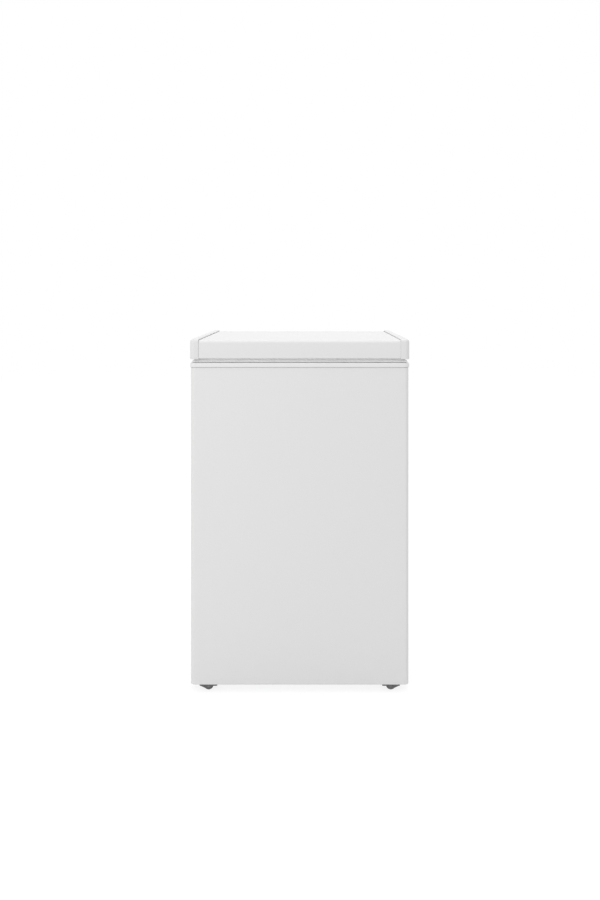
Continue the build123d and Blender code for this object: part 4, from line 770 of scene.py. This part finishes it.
def runs_mesh(open_runs, closed_runs=()):
    """Runs of straight edges between bends, as the start of bent wires."""
    points, edges = [], []
    for run, closed in [(r, False) for r in open_runs] + [(r, True) for r in closed_runs]:
        first = len(points)
        points += run
        edges += [(first + k, first + k + 1) for k in range(len(run) - 1)]
        if closed:
            edges.append((first + len(run) - 1, first))
    mesh = bpy.data.meshes.new("runs")
    mesh.from_pydata(points, edges, [])
    return mesh


bent_wire = wire_tree()
low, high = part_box("rear_grille")
half_x, half_z, outer_y = slot_length / 2, slot_height / 2, high.y
slots = []
for column in range(slot_columns):
    for row in range(slot_rows):
        x = (column - (slot_columns - 1) / 2) * slot_pitch[0]
        z = (low.z + high.z) / 2 + (row - (slot_rows - 1) / 2) * slot_pitch[1]
        slots.append([(x - half_x, outer_y, z - half_z), (x + half_x, outer_y, z - half_z),
                      (x + half_x, outer_y, z + half_z), (x - half_x, outer_y, z + half_z)])
lips = grown(bent_wire, runs_mesh([], slots), {
    "Wire radius": slot_lip, "Bend radius": slot_height / 2 - skin}, zinc_sheet)
put("grille_slot_lips", lips, zinc_sheet, "cabinet", "galvanised_sheet")

low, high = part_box("thermostat_knob")
dial = ((low.x + high.x) / 2, outer_y, (low.z + high.z) / 2)
plate = [
    (skin, dial_bore), (dial_thick, dial_bore), (dial_thick, dial_radius - dial_ease[0]),
    (dial_thick - dial_ease[1], dial_radius), (skin, dial_radius)
]
put("thermostat_dial_plate", turned(dial, plate, steps=72), white_abs, "cabinet", "white_plastic")
dress(moulded("moulded_pale_grey", (0.66, 0.66, 0.66), 0.32, 1200.0, 0.00006), "thermostat_knob")


def on_dial(tick, radius, y):
    """The point at this tick of the scale and this far from the dial's middle, and the way out to it."""
    angle = math.radians(scale_start - scale_sweep * tick / (tick_count - 1))
    out = Vector((-math.cos(angle), 0, math.sin(angle)))
    return Vector((dial[0], y, dial[2])) + out * radius, out


def flat_strip(work, centre, along, length, width, thick):
    """A thin raised bar on a face that looks along +Y."""
    across = Vector((along.z, 0, -along.x))
    corners = [
        centre + along * a * length / 2 + across * b * width / 2
        for a, b in ((-1, -1), (1, -1), (1, 1), (-1, 1))
    ]
    back = [work.verts.new(corner) for corner in corners]
    front = [work.verts.new(corner + Vector((0, thick, 0))) for corner in corners]
    work.faces.new(back)
    work.faces.new(front)
    for k in range(4):
        work.faces.new((back[k], back[(k + 1) % 4], front[(k + 1) % 4], front[k]))


def numeral(text, size, spot):
    """A printed figure that reads upright from behind the freezer."""
    words = bpy.data.curves.new("figure", "FONT")
    words.body = text
    words.size = size
    words.extrude = ink_thick / 2
    words.align_x = "CENTER"
    words.align_y = "CENTER"
    mesh = plain_mesh(linked("figure", words))
    mesh.transform(Matrix(((-1, 0, 0, spot[0]), (0, 0, 1, spot[1]), (0, 1, 0, spot[2]), (0, 0, 0, 1))))
    return mesh


def joined(meshes):
    """One mesh of several."""
    work = bmesh.new()
    for mesh in meshes:
        work.from_mesh(mesh)
    whole = bpy.data.meshes.new("joined")
    work.to_mesh(whole)
    work.free()
    return whole


printed_y = dial[1] + dial_thick
marks = bmesh.new()
for tick in range(tick_count):
    radius, length, width = short_tick if tick % ticks_per_mark else long_tick
    flat_strip(marks, *on_dial(tick, radius, printed_y), length, width, ink_thick)
prints = [finished(marks)]
for tick in range(0, tick_count, ticks_per_mark):
    spot = on_dial(tick, figure_radius, printed_y + ink_thick / 2)[0]
    prints.append(numeral(str(tick // ticks_per_mark + 1), figure_size, spot))
ink = moulded("printed_ink", (0.05, 0.052, 0.055), 0.5, 900.0, 0.00002)
put("thermostat_dial_print", joined(prints), ink, "cabinet", "black_plastic")
pointer = bmesh.new()
flat_strip(pointer, *on_dial(0, pointer_radius, low.y + pointer_seat), *pointer_size)
put("thermostat_pointer", finished(pointer), ink, "thermostat_knob", "black_plastic")

# ------------------------------------------------------------------------------------------------
# Lid: a steel sheet folded down at the front and the back, with a moulded white trim over each end. Foam
# tape seals both seams from inside; its charcoal colour paints the shade line along each seam, and the left
# seam stands a little wider so more tape shows there, painting the deeper shade on that side. The
# vacuum-formed liner closes the lid from below and holds the gasket.
# The wider left gap shows more of the dark tape: painted shade on the side away from the key light.
seam_gap = {-1: 0.00035, 1: 0.00015}
trim_corner = 0.008
trim_edge = 0.0006
tape_reach = 0.012
tape_thickness = 0.0012
tape_sunk = 0.0003
tape_rise = 0.0008
tape_in_wall = 0.0008
tape_foot = 0.006
tape_web_share = 0.7
tape_bend = {"outer": 0.0072, "rise": 0.0057, "inner": 0.006}
seam_shade_tape = moulded("charcoal_tape_painted_seam_shade", (0.10, 0.10, 0.10), 0.85, 1400.0, 0.0002, 0.2)
low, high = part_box("lid_panel")
trim_low, trim_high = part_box("lid_trim_right")
seam_x = high.x
panel = merged_copy("lid_panel")
for vertex in panel.verts:
    if abs(vertex.co.x) > seam_x - touch:
        side = math.copysign(1, vertex.co.x)
        vertex.co.x = side * (seam_x - seam_gap[side])
put("lid_panel_sheet", finished(panel), enamel, "lid", "white_paint", "lid_panel")


def on_trim_rim(place):
    """Whether a point lies on the open rim of a trim, on its outer side."""
    if abs(abs(place.x) - seam_x) > touch:
        return False
    inside = min(place.y - trim_low.y, trim_high.y - place.y)
    return on_outline(inside, trim_high.z - place.z, trim_corner)


def trim_line(x, inside, under, radius):
    """A line over the lid from front to back, this far inside the trim's faces and under its top."""
    front, back, top = trim_low.y + inside, trim_high.y - inside, trim_high.z - under
    foot = trim_low.z + tape_foot
    over = arc((front + radius, top - radius), radius, 180, 90, 6)
    over += arc((back - radius, top - radius), radius, 90, 0, 6)
    return [(x, y, z) for y, z in [(front, foot)] + over + [(back, foot)]]


# The tape's web rises in the gap above the sheet, so its charcoal colour paints the seam's shade line.
def taped_seam_shade(side):
    """Tape in an angle: one leg lies under the end of the sheet, and the other against the trim's wall."""
    face = low.y - trim_low.y + sheet - tape_sunk
    drop = trim_high.z - high.z + sheet - tape_sunk
    rise = trim_high.z - high.z - tape_rise
    deep = tape_thickness + tape_sunk
    far, web, wall = seam_x - tape_reach, seam_x - seam_gap[side] * tape_web_share, seam_x + tape_in_wall
    outer, risen, inner = tape_bend["outer"], tape_bend["rise"], tape_bend["inner"]
    lines = [
        (far, face, drop, outer), (web, face, drop, outer),
        (web, face, rise, risen), (wall, face, rise, risen),
        (wall, face + deep, drop + deep, inner), (far, face + deep, drop + deep, inner)
    ]
    work = bmesh.new()
    rows = [[work.verts.new(point) for point in trim_line(side * x, *rest)] for x, *rest in lines]
    for here, there in zip(rows, rows[1:] + rows[:1]):
        for k in range(len(here) - 1):
            work.faces.new((here[k], here[k + 1], there[k + 1], there[k]))
    work.faces.new([row[0] for row in rows])
    work.faces.new([row[-1] for row in rows])
    return finished(work)


for end, side in (("left", -1), ("right", 1)):
    cap = eased(merged_copy("lid_trim_" + end), trim_edge, on_trim_rim)
    put(f"lid_trim_{end}_cap", finished(cap), white_abs, "lid", "white_plastic", "lid_trim_" + end)
    put("lid_seam_shade_tape_" + end, taped_seam_shade(side), seam_shade_tape, "lid", "black_rubber")

dress(yellow_foam, "lid_foam")
dress(moulded("vacuum_formed_liner", (0.80, 0.80, 0.80), 0.34, 300.0, 0.00005), "lid_liner")
dress(zinc_sheet, "lid_anchor_plates")

# ------------------------------------------------------------------------------------------------
# Gasket: extruded soft PVC, cut at 45 degrees and welded at the corners. Its barbed root is pushed into the
# liner's groove, its foot holds the magnet strip and bulges outward, and a bellows joins foot and root.
mm = 0.001
gasket_section = [
    (0.6, 0.0), (10.4, 0.0), (11.0, 0.12), (11.4, 0.5), (11.5, 1.0), (11.5, 4.1), (11.1, 4.7), (10.2, 5.1),
    (9.3, 5.6), (9.1, 6.2), (9.5, 6.8), (10.5, 7.3), (10.9, 7.9), (10.5, 8.5), (9.5, 8.9), (9.3, 9.3),
    (11.4, 9.6), (12.0, 9.9), (12.0, 10.2), (8.0, 10.2), (7.6, 12.4), (8.0, 13.0), (7.7, 14.5), (6.6, 15.8),
    (5.4, 15.8), (4.3, 14.5), (4.0, 13.0), (4.4, 12.4), (4.0, 10.2), (0.0, 10.2), (0.0, 9.9), (0.9, 9.4),
    (1.9, 8.6), (2.3, 7.7), (2.0, 6.9), (1.0, 6.3), (-0.8, 6.0), (-2.6, 5.3), (-4.1, 4.3), (-5.1, 3.3),
    (-5.3, 2.6), (-5.0, 2.0), (-4.0, 1.6), (-1.8, 1.4), (0.0, 1.3), (0.5, 1.0), (0.6, 0.6)
]
low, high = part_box("lid_gasket")
gasket_plan = [(low.x, low.y), (high.x, low.y), (high.x, high.y), (low.x, high.y)]
seal = swept(gasket_plan, [(n * mm, low.z + z * mm) for n, z in gasket_section], closed=True)
white_seal = moulded("white_seal", (0.88, 0.88, 0.88), 0.55, 900.0, 0.00008, 0.3)
put("lid_gasket_seal", seal, white_seal, "lid", "seal_pvc", "lid_gasket")
dress(soft_rubber("magnet_strip", (0.06, 0.05, 0.045), 0.6), "gasket_magnet")

# ------------------------------------------------------------------------------------------------
# Hinges: a zinc-plated channel screwed to the back of the cabinet, a leaf screwed to the lid, and a steel
# pin between them. A cam on the leaf pushes a sprung acetal plunger down, so the lid stays where it is left.
# A moulded cover closes the channel.
cover_edge = 0.0006
spring_coil = 0.007
spring_wire = 0.0011
spring_turns = 8.0
acetal = moulded("natural_acetal", (0.72, 0.71, 0.66), 0.36, 600.0, 0.00006)
oiled_steel = drawn_tube("oiled_spring_steel", (0.24, 0.24, 0.25), 0.28, (0.12, 0.11, 0.11))


def raised(form, geometry, height, **more):
    """Moves geometry up in its tree."""
    shift = form.node("ShaderNodeCombineXYZ", {}, {"Z": height})
    return form.node("GeometryNodeTransform", {}, {"Geometry": geometry, "Translation": shift, **more})


def points_mesh(points):
    """A mesh of loose points, as the start of what stands on them."""
    mesh = bpy.data.meshes.new("points")
    mesh.from_pydata(points, [], [])
    return mesh


def spring_tree():
    """A coil from its foot up, with a closed turn at each end."""
    tree, form = sized_tree("coil_spring", "Coil radius", "Wire radius", "Turns", "Height")
    coil, wire = size_of(form, "Coil radius"), size_of(form, "Wire radius")
    height = size_of(form, "Height") - 2 * wire
    rise = form.node("GeometryNodeCurveSpiral", {}, {
        "Resolution": 28, "Rotations": size_of(form, "Turns"), "Start Radius": coil, "End Radius": coil,
        "Height": height})
    turn = form.node("GeometryNodeCurvePrimitiveCircle", {"mode": "RADIUS"}, {
        "Resolution": 28, "Radius": coil})
    path = together(form, raised(form, turn, height), turn, rise)
    section = form.node("GeometryNodeCurvePrimitiveCircle", {"mode": "RADIUS"}, {
        "Resolution": 10, "Radius": wire})
    bar = form.node("GeometryNodeCurveToMesh", {}, {"Curve": path, "Profile Curve": section})
    smooth = form.node("GeometryNodeSetShadeSmooth", {}, {0: bar, 2: True})
    made_solid(form, form.node("GeometryNodeInstanceOnPoints", {}, {
        "Points": size_of(form, "Geometry"), "Instance": raised(form, smooth, wire)}))
    return tree


coil_spring = spring_tree()
for side in ("left", "right"):
    dress(bright_zinc, "hinge_channel_" + side, "hinge_leaf_" + side, "hinge_pin_" + side)
    dress(acetal, "hinge_plunger_" + side)
    cover = eased(merged_copy("hinge_cover_" + side), cover_edge, lambda place: True)
    put(f"hinge_cover_{side}_moulding", finished(cover), white_abs, "cabinet", "white_plastic",
        "hinge_cover_" + side)
    low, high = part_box("hinge_spring_" + side)
    foot = ((low.x + high.x) / 2, (low.y + high.y) / 2, low.z)
    coil = grown(coil_spring, points_mesh([foot]), {
        "Coil radius": spring_coil, "Wire radius": spring_wire, "Turns": spring_turns,
        "Height": high.z - low.z}, oiled_steel)
    coil.name = "hinge_spring_coil_" + side
    spring = linked("hinge_spring_coil_" + side, coil)
    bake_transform(spring)
    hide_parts("hinge_spring_" + side)

# ------------------------------------------------------------------------------------------------
# Screws: zinc-plated pan heads with a cross recess. Four hold the grille, eight the hinge channels and eight
# the leaves on the lid. Each stands at its own angle, as it was left by the driver.
head_radius = 0.0036
head_height = 0.0022
shank_radius = 0.0019


def screw_tree():
    """A pan-head screw at each point: head towards +Y, shank the other way, turned by chance on its axis."""
    tree, form = sized_tree("pan_head_screw", "Head radius", "Head height", "Shank radius", "Grip")
    radius, height, grip = size_of(form, "Head radius"), size_of(form, "Head height"), size_of(form, "Grip")
    drum = form.node("GeometryNodeMeshCylinder", {"fill_type": "NGON"}, {
        "Vertices": 24, "Side Segments": 5, "Fill Segments": 1, "Radius": radius, "Depth": height})
    place = form.node("GeometryNodeInputPosition")
    rise = form.node("ShaderNodeSeparateXYZ", {}, {0: place}, out="Z") / height + 0.5
    taper = 1 - 0.30 * rise ** 3.0
    spread = form.node("ShaderNodeCombineXYZ", {}, {"X": taper, "Y": taper, "Z": 1.0})
    crowned = form.node("ShaderNodeVectorMath", {"operation": "MULTIPLY"}, {0: place, 1: spread})
    head = form.node("GeometryNodeSetPosition", {}, {"Geometry": drum, "Position": crowned})
    blade_size = form.node("ShaderNodeCombineXYZ", {}, {"X": radius * 1.15, "Y": radius * 0.24, "Z": height})
    blade = form.node("GeometryNodeMeshCube", {}, {"Size": blade_size})
    blades = [raised(form, blade, height * 0.62, Rotation=(0.0, 0.0, turn)) for turn in (0.0, math.pi / 2)]
    cut = form.node("GeometryNodeMeshBoolean", {"operation": "DIFFERENCE", "solver": "EXACT"}, {
        0: head, 1: together(form, *blades), "Self Intersection": True})
    shank = form.node("GeometryNodeMeshCylinder", {"fill_type": "NGON"}, {
        "Vertices": 14, "Radius": size_of(form, "Shank radius"), "Depth": grip})
    whole = together(form, raised(form, cut, height / 2), raised(form, shank, grip * -0.5))
    corner = form.node("GeometryNodeInputMeshEdgeAngle").above(0.6)
    whole = form.node("GeometryNodeSetShadeSmooth", {"domain": "FACE"}, {0: whole, 2: True})
    whole = form.node("GeometryNodeSetShadeSmooth", {"domain": "EDGE"}, {0: whole, 1: corner, 2: False})
    chance = form.node("FunctionNodeRandomValue", {"data_type": "FLOAT"}, {2: 0.0, 3: math.pi, 8: 7}, out=1)
    spin = form.node("ShaderNodeCombineXYZ", {}, {"Z": chance})
    placed = form.node("GeometryNodeInstanceOnPoints", {}, {
        "Points": size_of(form, "Geometry"), "Instance": whole, "Rotation": (-math.pi / 2, 0.0, 0.0)})
    made_solid(form, form.node("GeometryNodeRotateInstances", {}, {"Instances": placed, "Rotation": spin}))
    return tree


pan_head_screw = screw_tree()


def driven(name, node, body, columns):
    """Screws in pairs, one above the other, at these x. They stand for a CAD node."""
    low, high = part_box(node)
    seat_y = high.y - head_height
    seats = [(x, seat_y, z) for x in columns for z in (low.z + head_radius, high.z - head_radius)]
    screws = grown(pan_head_screw, points_mesh(seats), {
        "Head radius": head_radius, "Head height": head_height, "Shank radius": shank_radius,
        "Grip": seat_y - low.y}, bright_zinc)
    put(name, screws, bright_zinc, body, "zinc_plated", node)


def beside_hinges(node):
    """The x of the screws on both sides of each hinge, from the outermost ones."""
    pin_low, pin_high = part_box("hinge_pin_right")
    outer_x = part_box(node)[1].x - head_radius
    inner_x = pin_low.x + pin_high.x - outer_x
    return -inner_x, -outer_x, inner_x, outer_x


low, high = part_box("grille_screws")
driven("grille_pan_screws", "grille_screws", "cabinet", (low.x + head_radius, high.x - head_radius))
driven("hinge_pan_screws", "hinge_screws", "cabinet", beside_hinges("hinge_screws"))
driven("lid_pan_screws", "lid_screws", "lid", beside_hinges("lid_screws"))

# ------------------------------------------------------------------------------------------------
# Storage basket: steel wires bent, welded into a mesh and dipped in white plastic. Rings run round it under
# a thicker rim, and it hangs by four hooks whose bars slide along the frame.
rim_wire = 0.0026
mesh_wire = 0.0020
basket_corner = 0.016
basket_taper = 0.008
basket_depth = 0.175
basket_drop = 0.024
basket_weld = 0.0005
basket_bend = 0.012
hooks_inside = 0.030
hook_bend = 0.007
hook_reach = 0.027
bar_end = 0.008
cross_ribs = 5
long_ribs = 9
ring_steps = 3
dipped = moulded("dipped_white_plastic", (0.80, 0.80, 0.80), 0.32, 160.0, 0.0002, 0.4)
low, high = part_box("storage_basket")
reach_x, hook_z = high.x - rim_wire, high.z - rim_wire
rim_x = reach_x - hook_reach
front_y, back_y = low.y + rim_wire, high.y - rim_wire
floor_z = low.z + mesh_wire
rim_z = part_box("top_frame")[1].z - basket_drop
ring_z = rim_z - basket_depth


def basket_ring(drawn_in, z):
    """A ring round the basket at this height, drawn in from the rim."""
    x, y0, y1 = rim_x - drawn_in, front_y + drawn_in, back_y - drawn_in
    return [(-x, y0, z), (x, y0, z), (x, y1, z), (-x, y1, z)]


def evenly(start, end, count):
    """This many places from start to end, evenly apart."""
    return [start + (end - start) * k / (count - 1) for k in range(count)]


rings = [
    basket_ring(basket_taper * k / ring_steps, rim_z - basket_depth * k / ring_steps)
    for k in range(1, ring_steps)
]
top, foot = rim_wire + mesh_wire - 3 * basket_weld, basket_taper + mesh_wire
clear = basket_corner + basket_taper
ribs = []
for y in evenly(front_y + clear, back_y - clear, cross_ribs):
    ribs.append([(-rim_x + top, y, rim_z), (-rim_x + foot, y, ring_z), (rim_x - foot, y, ring_z),
                 (rim_x - top, y, rim_z)])
for x in evenly(-rim_x + clear, rim_x - clear, long_ribs):
    ribs.append([(x, front_y + top, rim_z), (x, front_y + foot, floor_z), (x, back_y - foot, floor_z),
                 (x, back_y - top, rim_z)])
hooks, bars = [], []
for side in (-1, 1):
    hook_y = (front_y + hooks_inside, back_y - hooks_inside)
    for y in hook_y:
        hooks.append([(side * rim_x, y, rim_z), (side * rim_x, y, hook_z), (side * reach_x, y, hook_z)])
    bars.append([(side * reach_x, y, hook_z) for y in (hook_y[0] - bar_end, hook_y[1] + bar_end)])


def dipped_wires(start, wire, bend):
    """Bent wires of this radius along their runs."""
    return grown(bent_wire, start, {"Wire radius": wire, "Bend radius": bend}, dipped)


basket = joined([
    dipped_wires(runs_mesh([], [basket_ring(0.0, rim_z)]), rim_wire, basket_corner),
    dipped_wires(runs_mesh([], rings), mesh_wire, basket_corner),
    dipped_wires(runs_mesh(ribs), mesh_wire, basket_bend),
    dipped_wires(runs_mesh(hooks + bars), rim_wire, hook_bend),
])
put("storage_basket_wires", basket, dipped, "basket", "coated_wire", "storage_basket")

# ------------------------------------------------------------------------------------------------
# The end of the making.
bpy.context.view_layer.update()
